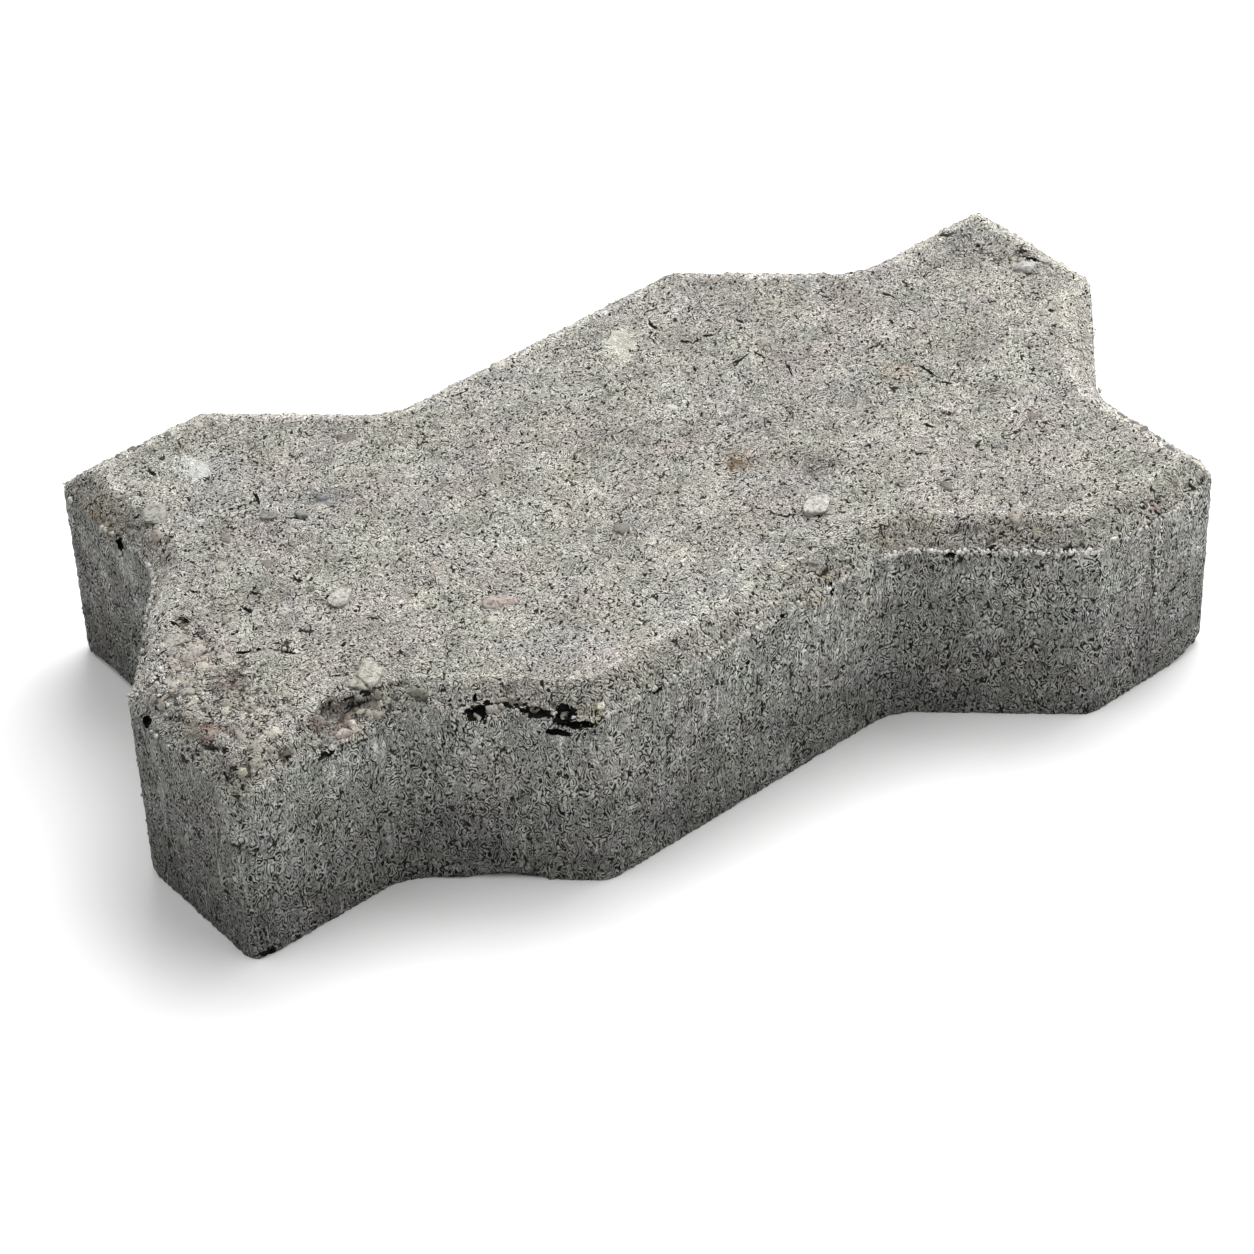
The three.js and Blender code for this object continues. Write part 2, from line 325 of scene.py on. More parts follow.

# Stains and pale patches, and on the sides patches of painted light and painted shade: middle, half
# sizes (along the turn, across it, up), turn, colour, strength.
STAINS = {
    "lime_haze": ((-83.0, 40.0, TOP), (6.0, 8.0, 9), ACROSS_VIEW, (196, 197, 195), 0.45),
    "lime_bloom": ((-83.7, 44.0, TOP), (3.0, 3.6, 9), ACROSS_VIEW, (238, 238, 233), 0.95),
    "lime_bloom_low": ((-83.6, 39.4, TOP), (2.2, 2.8, 9), ACROSS_VIEW, (244, 244, 240), 1.0),
    "rust_far_left": ((-106.4, 41.2, 45.8), (1.8, 1.2, 2), END_RUN, (120, 88, 74), 0.7),
    "moss_far_left": ((-105.6, 36.2, 45.0), (2.6, 1.6, 3), END_RUN, (118, 110, 80), 0.8),
    "cream_far_left": ((-105.6, 37.9, 46.2), (1.6, 0.9, 1.4), END_RUN, (214, 206, 188), 0.75),
    "pale_end_patch": ((-105.0, -14.0, TOP), (7.0, 6.5, 9), ACROSS_VIEW, (206, 196, 188), 0.6),
    "cream_end_patch": ((-109.2, -28.2, TOP), (3.6, 4.2, 9), ACROSS_VIEW, (214, 211, 202), 0.75),
    "brown_end_patch": ((-101.2, -25.6, TOP), (3.2, 3.6, 9), ACROSS_VIEW, (124, 108, 103), 0.75),
    "rust_end_speck": ((-103.6, -4.2, TOP), (2.6, 1.2, 9), -64.0, (112, 92, 82), 0.7),
    "lichen_end": ((-107.0, -7.6, TOP), (2.6, 3.2, 9), ACROSS_VIEW, (158, 154, 130), 0.6),
    "red_end_stain": ((-109.6, -37.2, TOP), (3.4, 2.2, 9), ACROSS_VIEW, (160, 134, 122), 0.8),
    "olive_end_stain": ((-112.8, -34.0, 49.0), (1.8, 2.4, 4), ACROSS_VIEW, (134, 126, 100), 0.75),
    "spall_stain": ((-85.2, -43.6, 48.8), (6.4, 3.6, 4), RUN_OUTWARD, (118, 104, 98), 0.72),
    "spall_foot": ((-83.6, -46.4, 45.6), (3.0, 1.6, 1.8), RUN_OUTWARD, (196, 180, 168), 0.7),
    "near_tip_lichen": ((-107.3, -51.6, 46.6), (4.6, 2.4, 3), RUN_OUTWARD, (160, 157, 143), 0.55),
    "rust_arris": ((14.8, -50.8, 44.6), (2.2, 1.6, 1.5), RUN_OUTWARD, (108, 96, 74), 0.7),
    "rust_arris_pale": ((17.6, -50.0, 43.6), (1.4, 1.4, 1.6), RUN_OUTWARD, (158, 144, 126), 0.8),
    "lichen_arris": ((-39.5, -62.9, 45.6), (3.4, 2.2, 2.4), RUN_INWARD, (150, 144, 120), 0.7),
    "rust_haze": ((19.6, -9.0, TOP), (4.6, 4.4, 9), ACROSS_VIEW, (170, 154, 136), 0.5),
    "rust_spot": ((19.2, -9.8, TOP), (2.7, 2.1, 9), ACROSS_VIEW, (122, 100, 80), 0.7),
    "dark_spot": ((33.9, -17.9, TOP), (3.4, 4.4, 9), ACROSS_VIEW, (112, 110, 106), 0.65),
    "straw_spot": ((14.6, 39.7, TOP), (4.0, 5.4, 9), ACROSS_VIEW, (230, 228, 215), 0.95),
    "blush_spot": ((64.6, 3.6, TOP), (4.0, 3.6, 9), ACROSS_VIEW, (196, 180, 166), 0.6),
    "blush_spot_wide": ((10.1, 2.5, TOP), (5.0, 4.4, 9), ACROSS_VIEW, (200, 190, 182), 0.5),
    "slate_patch": ((-63.1, 19.9, TOP), (7.0, 3.6, 9), ACROSS_VIEW, (138, 140, 141), 0.45),
    "near_rim_wash": ((-40.0, -45.0, TOP), (14.0, 4.5, 9), -18.0, (194, 195, 194), 0.38),
    "near_rim_wash_right": ((-6.0, -43.5, TOP), (17.0, 4.0, 9), RUN_OUTWARD, (194, 195, 193), 0.35),
    "straw_patch": ((-56.9, -19.8, TOP), (3.2, 2.6, 9), ACROSS_VIEW, (214, 213, 198), 0.78),
    "far_left_wash": ((-78.0, 28.0, TOP), (12.0, 8.0, 9), ACROSS_VIEW, (184, 184, 182), 0.3),
    "red_chamfer": ((90.7, -58.7, 46.7), (2.2, 1.4, 2), RUN_OUTWARD, (152, 134, 122), 0.5),
    "rust_chamfer_wide": ((62.0, -53.6, 48.2), (7.0, 2.6, 3), RUN_INWARD, (132, 124, 104), 0.3),
    "rust_chamfer": ((36.5, -43.4, 47.3), (3.0, 2.2, 3), 0.0, (136, 126, 106), 0.4),
    "ochre_chamfer": ((20.6, -47.6, 46.6), (2.4, 2.0, 2), RUN_OUTWARD, (142, 133, 110), 0.5),
    "far_tip_bloom": ((108.2, 25.4, TOP), (3.8, 1.8, 9), ACROSS_VIEW, (222, 220, 214), 0.7),
    "far_tip_shade": ((102.6, 36.6, TOP), (7.0, 9.0, 9), ACROSS_VIEW, (146, 146, 143), 0.4),
    "back_shade": ((31.0, 33.0, TOP), (8.0, 5.0, 9), ACROSS_VIEW, (140, 140, 134), 0.35),
    "near_end_rim_wash": ((-115.2, -34.0, 47.2), (12.0, 3.4, 3.4), END_RUN, (178, 177, 171), 0.42),
    "side_film": ((46.0, -49.6, 41.5), (9.0, 3.0, 3.4), RUN_INWARD, (128, 128, 122), 0.6),
    "side_film_mid": ((6.0, -53.4, 37.5), (7.0, 3.0, 6.0), RUN_OUTWARD, (124, 125, 119), 0.5),
    "dirty_far_left": ((-105.4, 40.5, 48.0), (9.0, 3.6, 4.0), END_RUN, (140, 134, 120), 0.5),
    # Painted light on the near side by the left end.
    "side_painted_light_near_end": ((-84.0, -50.0, 30.0), (14.0, 6.0, 18.0), RUN_OUTWARD, (124, 124, 119), 0.35),
    "side_wash_middle": ((-30.0, -60.0, 37.0), (30.0, 8.0, 10.0), 0.0, (124, 124, 118), 0.3),
    "side_shade_hollow": ((48.0, -52.0, 26.0), (18.0, 7.0, 22.0), 0.0, (88, 89, 85), 0.3),
    "side_shade_end": ((-117.0, -30.0, 22.0), (20.0, 6.0, 24.0), END_RUN, (78, 79, 76), 0.3),
    "pale_hollow_rim": ((-107.4, -4.0, 47.8), (23.0, 2.8, 3.6), 68.0, (214, 212, 204), 0.6),
    "end_film": ((-118.7, -27.4, 24.0), (1.2, 1.4, 7.0), END_RUN, (132, 133, 129), 0.95),
    "end_film_high": ((-118.8, -26.4, 38.6), (1.2, 1.1, 4.5), END_RUN, (138, 139, 135), 0.95),
    "end_film_corner": ((-114.7, -42.2, 43.0), (2.6, 1.2, 2.6), END_RUN, (128, 128, 126), 0.9),
}

# Stones that show in the face: middle, half sizes (along the turn, across it, up), turn, colour.
SHOWING_STONES = {
    "round_pale_stone": ((-72.3, -12.9, 50.4), (2.8, 3.0, 1.3), ACROSS_VIEW, (226, 223, 215)),
    "rosy_long_stone": ((-43.4, -28.4, 49.8), (3.9, 2.4, 1.6), ACROSS_VIEW, (216, 200, 192)),
    "pale_wedge_stone": ((27.3, -30.0, 50.2), (3.6, 3.4, 1.4), ACROSS_VIEW, (230, 227, 219)),
    "dark_smooth_stone": ((-75.5, 19.2, 49.7), (1.7, 1.6, 1.6), ACROSS_VIEW, (173, 173, 167)),
    "dark_smooth_stone_right": ((-69.2, 16.3, 49.7), (1.7, 1.5, 1.6), ACROSS_VIEW, (169, 169, 164)),
    "slate_stone": ((-63.0, 19.5, 49.6), (1.8, 1.4, 1.5), ACROSS_VIEW, (164, 168, 170)),
    "raised_cream_stone": ((-75.6, -36.2, 49.5), (3.2, 5.2, 1.9), ACROSS_VIEW, (219, 215, 203)),
    "raised_cream_foot": ((-78.8, -38.2, 49.4), (2.6, 2.0, 1.6), ACROSS_VIEW, (212, 207, 194)),
    "spall_stone": ((-82.9, -45.4, 46.0), (1.2, 1.1, 1.6), RUN_OUTWARD, (204, 196, 186)),
    "spall_stone_rosy": ((-85.4, -46.4, 45.6), (2.0, 1.0, 1.0), RUN_OUTWARD, (178, 168, 160)),
    "flat_far_left_stone": ((-96.4, 30.8, 49.9), (2.8, 3.8, 1.2), ACROSS_VIEW, (198, 196, 188)),
    "stone_below_crack": ((-91.2, -21.4, 49.6), (2.8, 1.6, 0.8), ACROSS_VIEW, (196, 192, 182)),
    "white_arris_stone": ((73.4, -63.4, 45.2), (0.8, 0.7, 0.7), 0.0, (232, 230, 224)),
    "white_arris_crumb": ((-36.8, -62.6, 46.2), (1.2, 0.7, 0.8), 0.0, (224, 220, 206)),
    "pale_arris_crumb": ((79.6, -62.6, 45.4), (1.2, 0.6, 0.6), RUN_OUTWARD, (212, 209, 200)),
    "side_grain": ((41.0, -46.6, 40.0), (0.5, 0.5, 0.5), 0.0, (206, 206, 200)),
    "slate_speck": ((19.0, -45.0, 49.0), (1.4, 1.0, 0.7), ACROSS_VIEW, (162, 164, 158)),
    "far_tip_white_stone": ((106.7, 24.3, 50.2), (2.3, 1.3, 1.2), ACROSS_VIEW, (226, 225, 220)),
    "far_tip_white_crumb": ((112.1, 24.5, 49.6), (1.4, 0.8, 1.0), ACROSS_VIEW, (222, 221, 216)),
    "far_white_speck": ((102.9, 6.7, 49.8), (1.0, 0.8, 0.9), ACROSS_VIEW, (220, 218, 212)),
    "back_white_speck": ((88.7, 19.6, 49.8), (1.0, 0.9, 0.9), ACROSS_VIEW, (216, 214, 208)),
    "pale_end_stone": ((-105.6, -8.8, 49.2), (3.2, 1.7, 1.0), 0.0, (206, 200, 190)),
    "pale_end_flake": ((-104.6, -14.2, 49.2), (3.6, 1.5, 0.9), 10.0, (204, 196, 188)),
}

# Grey crumbs that stand along the far and right rims: where they are in plan, then what they share.
RIM_CRUMBS = (
    (98.1, 40.0),
    (100.2, 42.0),
    (102.8, 43.8),
    (98.9, -31.4),
    (100.0, -35.0),
    (100.9, -38.0),
    (101.7, -41.8),
    (102.4, -46.2),
    (-96.4, 53.0),
    (-93.0, 54.6),
    (-84.6, 55.6),
)
CRUMB_LEVEL = 48.9
CRUMB_HALF = (1.6, 1.1, 1.3)
CRUMB_COLOUR = (146, 147, 142)
CRUMB_TURN = 40.0  # degrees from one to the next


# ---------------------------------------------------------------- geometry node trees


def geometry_tree(name, sizes):
    """An empty geometry tree with a geometry input and output and the named number inputs."""
    tree = bpy.data.node_groups.new(name, "GeometryNodeTree")
    face = tree.interface
    face.new_socket("Geometry", in_out="INPUT", socket_type="NodeSocketGeometry")
    for label, value in sizes.items():
        kind = "NodeSocketInt" if isinstance(value, int) else "NodeSocketFloat"
        socket = face.new_socket(label, in_out="INPUT", socket_type=kind)
        socket.default_value = value
    face.new_socket("Material", in_out="INPUT", socket_type="NodeSocketMaterial")
    face.new_socket("Geometry", in_out="OUTPUT", socket_type="NodeSocketGeometry")
    made = Tree(tree)
    return made, made.node("NodeGroupInput"), made.node("NodeGroupOutput")


def finish_tree(t, given, result, geometry):
    """Ends a geometry tree: smooth shading, instances made real, and the material."""
    smooth = t.node("GeometryNodeSetShadeSmooth", {"Geometry": geometry}).outputs[0]
    realized = t.node("GeometryNodeRealizeInstances", {"Geometry": smooth}).outputs[0]
    inputs = {"Geometry": realized, "Material": given.outputs["Material"]}
    t.link(t.node("GeometryNodeSetMaterial", inputs).outputs[0], result.inputs[0])
    return t.tree


def add_geometry_modifier(piece, tree, values):
    """Puts the tree on the piece and sets its named inputs by their identifiers."""
    modifier = piece.modifiers.new(tree.name, "NODES")
    modifier.node_group = tree
    for item in tree.interface.items_tree:
        if item.item_type == "SOCKET" and item.in_out == "INPUT" and item.name in values:
            modifier[item.identifier] = values[item.name]


def painted_on(t, name):
    """A number painted on the points of the mesh, as a geometry tree reads it."""
    return t.node("GeometryNodeInputNamedAttribute", {"Name": name}, data_type="FLOAT").outputs[0]


def own_place(t):
    """Where each point is, in metres and in mm."""
    position = t.node("GeometryNodeInputPosition").outputs[0]
    return position, t.vector("SCALE", position, scale=1 / MM)


def put_on_points(t, points, shape, rotation, squash, size, **more):
    """The shape on every point, turned, squashed and sized."""
    scale = t.vector("SCALE", squash, scale=size)
    inputs = {"Points": points, "Instance": shape, "Rotation": rotation, "Scale": scale, **more}
    return t.node("GeometryNodeInstanceOnPoints", inputs).outputs[0]


def unit_ball(t, subdivisions):
    return t.node("GeometryNodeMeshIcoSphere", {"Radius": 1.0, "Subdivisions": subdivisions}).outputs[0]


def moved(t, geometry, offset):
    return t.node("GeometryNodeSetPosition", {"Geometry": geometry, "Offset": offset}).outputs[0]


def sunk_points(t, spread, size, depth):
    """The points spread on a face, sunk into it by a share of their size."""
    sink = t.vector("SCALE", spread.outputs["Normal"], scale=t.times(size, -depth))
    return moved(t, spread.outputs["Points"], sink)


def own_tint(t, placed, seed):
    """Gives each placed shape a number of its own for its colour."""
    inputs = {"Geometry": placed, "Name": "tint", "Value": t.random(0.0, 1.0, seed)}
    return t.node("GeometryNodeStoreNamedAttribute", inputs, domain="INSTANCE").outputs[0]


FULL_TURNS = ((0.0, 0.0, 0.0), (6.28, 6.28, 6.28))  # from none to a whole turn about each axis

# The corner that feet and wheels rubbed back, in mm.
WORN_CORNER = (109.5, -56.0, 0.0)
WORN_CORNER_INWARD = (-0.85, 0.53, 0.0)
WORN_CORNER_DEPTH = 1.0
WORN_CORNER_REACH = (9.0, 2.5)  # from the corner: where the wear sets in and where it is full


def stretched_upwards(t, vector, width):
    """Places for a noise whose lumps are drawn out upwards. The width is a share of their height."""
    return t.vector("MULTIPLY", vector, (1.0, 1.0, width))


def corner_shift(t, in_mm):
    """How far places are shifted by the wear of the near right corner."""
    from_tip = t.vector("MULTIPLY", t.vector("SUBTRACT", in_mm, WORN_CORNER), (1.0, 1.0, 0.0))
    rubbed = t.remap(t.length(from_tip), *WORN_CORNER_REACH, 0.0, WORN_CORNER_DEPTH * MM)
    return t.vector("SCALE", WORN_CORNER_INWARD, scale=rubbed)


# The rough skin: a share for the edges' wear, and heights in mm.
CAST_SIZES = {
    "Edge Wear": 1.0,
    "Lump Height": 0.42,
    "Grain Height": 0.34,
    "Pit Depth": 0.9,
    "Worn Depth": 0.6,
}
WEAR_BLUR = 4  # how many times the surface is blurred
WEAR_PATCH_SIZE = 3.4
MOST_WEAR = 1.8
LUMP_SIZE = 6.0
LUMP_SHARE = 1.5
BROAD_LUMP_SIZE = 30.0
BROAD_LUMP_SHARE = 1.6
GRAIN_CELL = 1.9
PEBBLE_CELL = 5.5
PEBBLE_BEND = 2.2
PEBBLE_HEIGHT = 0.26
PIT_SIZE = 2.2
DRAG_SIZE = 1.6
DRAG_STRETCH = 0.09  # a drag mark's width as a share of its height
DRAG_HEIGHT = 0.4
MOST_RAISED = 0.45
FOOT_HEIGHT = 4.0
# How rough the rest is, next to the level top.
SIDE_ROUGHNESS = 0.45
UNDERSIDE_ROUGHNESS = 0.1
FOOT_ROUGHNESS = 0.35


def rough_cast_tree():
    """Turns a smooth cast solid into rough concrete: worn edges, lumps, grains and pits."""
    t, given, result = geometry_tree("rough_cast_surface", CAST_SIZES)
    position, in_mm = own_place(t)
    normal = t.node("GeometryNodeInputNormal").outputs[0]

    # Edge wear: a blurred surface lies inside every convex edge, so moving part of the way to it
    # wears the edge down, and the noise makes the wear uneven.
    blurred = t.node(
        "GeometryNodeBlurAttribute",
        {"Value": position, "Iterations": WEAR_BLUR, "Weight": 1.0},
        data_type="FLOAT_VECTOR",
    ).outputs[0]
    inward = t.vector("SUBTRACT", blurred, position)
    patchy = t.remap(t.noise(in_mm, WEAR_PATCH_SIZE, 3.0, 0.6), 0.45, 0.72, 0.0, MOST_WEAR)
    wear = t.times(patchy, given.outputs["Edge Wear"])
    worn = t.vector("SCALE", inward, scale=wear)
    worn = t.vector("ADD", worn, corner_shift(t, in_mm))

    # How much a place faces up or sideways.
    up = t.split(normal)[2]
    facing_up = t.remap(up, 0.25, 0.85)
    facing_side = t.remap(t.math("ABSOLUTE", up), 0.8, 0.3)

    # Lumps and hollows of the open top texture.
    broad = t.minus(t.noise(in_mm, BROAD_LUMP_SIZE, 2.0), 0.5)
    lumps = t.minus(t.noise(in_mm, LUMP_SIZE, 4.0, 0.62), 0.5)
    lump = t.plus(t.times(broad, BROAD_LUMP_SHARE), t.times(lumps, LUMP_SHARE))
    lump = t.times(lump, given.outputs["Lump Height"])

    # Sand grains standing out of the cement.
    grain_cells = t.cells(in_mm, GRAIN_CELL, "SMOOTH_F1")
    dome = t.remap(grain_cells.outputs["Distance"], 0.1, 0.6, 0.5, -0.5)
    grain = t.times(dome, given.outputs["Grain Height"])

    # Pebbles under the skin, in some of the cells.
    bend = t.vector("SCALE", t.swirl(in_mm, 2.5, 1.0), scale=PEBBLE_BEND)
    pebbles = t.cells(t.vector("ADD", in_mm, bend), PEBBLE_CELL)
    pebble_size = t.remap(t.split(pebbles.outputs["Color"])[0], 0.45, 1.0, 0.0, 0.5, smooth=False)
    inside = t.minus(pebble_size, pebbles.outputs["Distance"])
    pebble = t.remap(inside, -0.04, 0.14, 0.0, PEBBLE_HEIGHT)
    grain = t.plus(grain, pebble)

    # Pits where air or sand came away.
    pits = t.remap(t.noise(in_mm, PIT_SIZE, 2.0, 0.55, 0.6), 0.60, 0.72, 0.0, -1.0)
    pit = t.times(pits, given.outputs["Pit Depth"])

    # The mould plates leave upright drag marks on the sides.
    stretched = stretched_upwards(t, in_mm, DRAG_STRETCH)
    drag = t.times(t.minus(t.noise(stretched, DRAG_SIZE, 2.0), 0.5), DRAG_HEIGHT)

    # Worn patches lie a little lower. The sides are flatter than the top, and the foot and the
    # underside are flatter still.
    sunk = t.times(painted_on(t, "worn"), given.outputs["Worn Depth"])
    rough = t.minus(t.plus(t.plus(lump, grain), pit), sunk)
    above_ground = t.split(in_mm)[2]
    share = t.times_plus(facing_up, 1.0 - SIDE_ROUGHNESS, SIDE_ROUGHNESS)
    share = t.times(share, t.remap(up, -0.9, -0.4, UNDERSIDE_ROUGHNESS, 1.0))
    share = t.times(share, t.remap(above_ground, 0.0, FOOT_HEIGHT, FOOT_ROUGHNESS, 1.0))
    height = t.times(rough, share)
    height = t.times_plus(drag, facing_side, height)
    height = t.times(t.math("MINIMUM", height, MOST_RAISED), MM)
    raised = t.vector("SCALE", normal, scale=height)
    target = t.vector("ADD", position, t.vector("ADD", worn, raised))
    # No point goes below the floor.
    on_ground = t.vector("MAXIMUM", target, (-1.0, -1.0, 0.0))
    inputs = {"Geometry": given.outputs["Geometry"], "Position": on_ground}
    placed = t.node("GeometryNodeSetPosition", inputs).outputs[0]
    return finish_tree(t, given, result, placed)


BURR_SIZES = {"Step": 0.17 * MM, "Smallest": 0.16 * MM, "Largest": 0.48 * MM, "Seed": 3}
# Where its long run and its run in the left hollow set in and end, in mm, each from none to full.
LONG_RUN_ACROSS = (-28.0, -36.0)
LONG_RUN_START = (-43.0, -41.0)
LONG_RUN_END = (78.0, 75.0)
HOLLOW_ALONG = (-95.0, -99.0)
HOLLOW_START = (26.0, 22.0)
HOLLOW_END = (6.0, 10.0)
BURR_PATCH_SIZE = 6.0
BURR_IN_RUNS = 0.18  # how much more of the noise is burr in the runs
BURR_FROM = 0.56  # the level of the noise above which there is burr
BURR_LUMP_SIZE = 1.6
CRUMB_SCATTER = ((-0.45, -0.45, -0.55), (0.45, 0.45, 0.25))
CRUMB_SQUASH = ((0.7, 0.7, 0.6), (1.4, 1.4, 1.2))


def mould_burr_tree():
    """Crumbs of cement along the arris, where the mould's plate met the press head."""
    t, given, result = geometry_tree("mould_burr", BURR_SIZES)
    line = t.node("GeometryNodeMeshToCurve", {"Mesh": given.outputs["Geometry"]}).outputs[0]
    inputs = {"Curve": line, "Length": given.outputs["Step"]}
    even = t.node("GeometryNodeResampleCurve", inputs, mode="LENGTH").outputs[0]
    _, in_mm = own_place(t)
    along, across, _ = t.split(in_mm)
    long_run = t.times(t.remap(across, *LONG_RUN_ACROSS), t.remap(along, *LONG_RUN_START))
    long_run = t.times(long_run, t.remap(along, *LONG_RUN_END))
    left_hollow = t.times(t.remap(along, *HOLLOW_ALONG), t.remap(across, *HOLLOW_START))
    left_hollow = t.times(left_hollow, t.remap(across, *HOLLOW_END))
    rough_run = t.math("MAXIMUM", long_run, left_hollow)
    patches = t.times_plus(rough_run, BURR_IN_RUNS, t.noise(in_mm, BURR_PATCH_SIZE, 4.0, 0.65))
    kept = t.node("FunctionNodeCompare", {0: patches, 1: BURR_FROM}, operation="GREATER_THAN")
    lumps = t.remap(t.noise(in_mm, BURR_LUMP_SIZE, 3.0, 0.7), 0.36, 0.64, 0.35, 1.25)
    size = t.random(given.outputs["Smallest"], given.outputs["Largest"], given.outputs["Seed"])
    size = t.times(size, lumps)
    scatter = t.random_vector(*CRUMB_SCATTER, 4)
    scatter = t.vector("ADD", t.vector("SCALE", scatter, scale=MM), corner_shift(t, in_mm))
    squash = t.random_vector(*CRUMB_SQUASH, 5)
    turns = t.random_vector(*FULL_TURNS, 6)
    points = moved(t, even, scatter)
    placed = put_on_points(t, points, unit_ball(t, 1), turns, squash, size, Selection=kept.outputs[0])
    return finish_tree(t, given, result, placed)


GRAIN_SIZES = {"Per Square Metre": 160000.0, "Smallest": 0.22 * MM, "Largest": 0.62 * MM, "Seed": 11}
GRAIN_FREE_FOOT = 1.5  # mm up the sides
GRAIN_SUNK = 0.45
GRAIN_SQUASH = ((0.75, 0.75, 0.6), (1.25, 1.25, 1.0))


def sand_grain_tree():
    """Grains of sand held in the face, most of them sunk to half their height."""
    t, given, result = geometry_tree("sand_grains", GRAIN_SIZES)
    height = t.split(t.node("GeometryNodeInputPosition").outputs[0])[2]
    foot = GRAIN_FREE_FOOT * MM
    above_foot = t.node("FunctionNodeCompare", {0: height, 1: foot}, operation="GREATER_THAN")
    inputs = {
        "Mesh": given.outputs["Geometry"],
        "Selection": above_foot.outputs[0],
        "Density": given.outputs["Per Square Metre"],
        "Seed": given.outputs["Seed"],
    }
    spread = t.node("GeometryNodeDistributePointsOnFaces", inputs)
    size = t.random(given.outputs["Smallest"], given.outputs["Largest"], 1)
    points = sunk_points(t, spread, size, GRAIN_SUNK)
    squash = t.random_vector(*GRAIN_SQUASH, 2)
    placed = put_on_points(t, points, unit_ball(t, 1), t.random_vector(*FULL_TURNS, 3), squash, size)
    return finish_tree(t, given, result, own_tint(t, placed, 4))


EXPOSED_SIZES = {
    "Per Square Metre": 420000.0,
    "Spacing": 1.25 * MM,
    "Smallest": 0.5 * MM,
    "Largest": 1.9 * MM,
    "Seed": 7,
}
SMALL_STONES_MORE_OFTEN = 1.8  # power of an even spread of sizes
STONE_SUNK = 0.28
STONE_SQUASH = ((0.7, 0.7, 0.36), (1.35, 1.35, 0.56))
STONE_LUMP_SIZE = 1.1  # mm
STONE_LUMP = 1.8  # mm


def exposed_stones_tree():
    """Small stones that stand out of the worn patches."""
    t, given, result = geometry_tree("exposed_stones", EXPOSED_SIZES)
    inputs = {
        "Mesh": given.outputs["Geometry"],
        "Distance Min": given.outputs["Spacing"],
        "Density Max": given.outputs["Per Square Metre"],
        "Density Factor": painted_on(t, "worn"),
        "Seed": given.outputs["Seed"],
    }
    spread = t.node("GeometryNodeDistributePointsOnFaces", inputs, distribute_method="POISSON")
    share = t.math("POWER", t.random(0.0, 1.0, 1), SMALL_STONES_MORE_OFTEN)
    gap = t.minus(given.outputs["Largest"], given.outputs["Smallest"])
    size = t.times_plus(share, gap, given.outputs["Smallest"])
    points = sunk_points(t, spread, size, STONE_SUNK)
    squash = t.random_vector(*STONE_SQUASH, 2)
    placed = put_on_points(t, points, unit_ball(t, 2), spread.outputs["Rotation"], squash, size)
    tinted = own_tint(t, placed, 4)
    real = t.node("GeometryNodeRealizeInstances", {"Geometry": tinted}).outputs[0]
    # Lumps that make no two stones alike.
    _, in_mm = own_place(t)
    lump = t.vector("SCALE", t.swirl(in_mm, STONE_LUMP_SIZE, 1.0), scale=STONE_LUMP * MM)
    return finish_tree(t, given, result, moved(t, real, lump))


# ---------------------------------------------------------------- materials


def principled(name, roughness, specular):
    """A new material, its tree helper and its shader."""
    material = bpy.data.materials.new(name)
    material.use_nodes = True
    shader = material.node_tree.nodes["Principled BSDF"]
    shader.inputs["Roughness"].default_value = roughness
    shader.inputs["Specular IOR Level"].default_value = specular
    return material, Tree(material.node_tree), shader


def add_bump(t, shader, height, strength, depth):
    """Relief of the height, depth mm deep."""
    inputs = {"Height": height, "Strength": strength, "Distance": depth * MM}
    t.link(t.node("ShaderNodeBump", inputs).outputs[0], shader.inputs["Normal"])


def swatch(red, green, blue):
    """A colour given as screen levels from 0 to 255, as the linear colour that a shader takes."""
    levels = [level / 255 for level in (red, green, blue)]
    linear = [v / 12.92 if v <= 0.04045 else ((v + 0.055) / 1.055) ** 2.4 for v in levels]
    return (*linear, 1.0)


def place_in_mm(t):
    where = t.node("ShaderNodeTexCoord").outputs["Object"]
    return t.vector("SCALE", where, scale=1 / MM)


ROUND_ARRIS = (ARRIS_HEIGHT - 0.6, ARRIS_HEIGHT + 1.0)


def on_top(t, height):
    """0 on the upright sides and 1 on the chamfer and the level top."""
    return t.remap(height, *ROUND_ARRIS)


# Cement colours, and sizes and places in mm.
TOP_TONE = (0.325, 0.313, 0.284, 1.0)
# The sides are darker than the top, partly as painted shade; towards their foot they darken further, as
# painted shade near the floor.
SIDE_HIGH_TONE = (0.290, 0.291, 0.269, 1.0)
SIDE_LOW_TONE = (0.148, 0.149, 0.137, 1.0)
CLOUD_SIZE = 12.0
CLOUD_TINT = 0.08
MOTTLE_SIZE = 8.0
MOTTLE = 0.17  # how much lighter or darker
BROAD_MOTTLE_SIZE = 30.0
BROAD_MOTTLE = 0.08
STREAK_WIDTH = 2.0
STREAK_STRETCH = 0.05  # a streak's width as a share of its height
STREAK = (0.87, 1.13)  # its darkest and lightest
STAIN_RAG_SIZE = 1.5
STAIN_RAG = (0.5, 1.35)  # how much the ragged edges weaken and strengthen a stain
LEFT_END_SHADE_REACH = (-100.0, -112.0)  # where the left end's painted shade sets in and where it is full
LEFT_END_PAINTED_SHADE = 0.14  # how much darker it is painted
FAR_RIM_PAINTED_LIGHT = 0.46  # how much lighter the far rims are painted: painted light from behind, with some rubbing
FAR_RIM_LIGHT_FADE = (8.0, 6.0)  # in from the arris
NEAR_RIM_PAINTED_SHADE = 0.13  # how much darker the near chamfer is painted: painted shade
NEAR_RIM_SHADE_FADE = (6.3, 5.7)
RIDGE_PAINTED_LIGHT = 0.16  # how much lighter the ridge above it is painted: painted light
RIDGE_PLACE = 6.6
RIDGE_FADE = (0.9, 0.2)  # either side of its middle


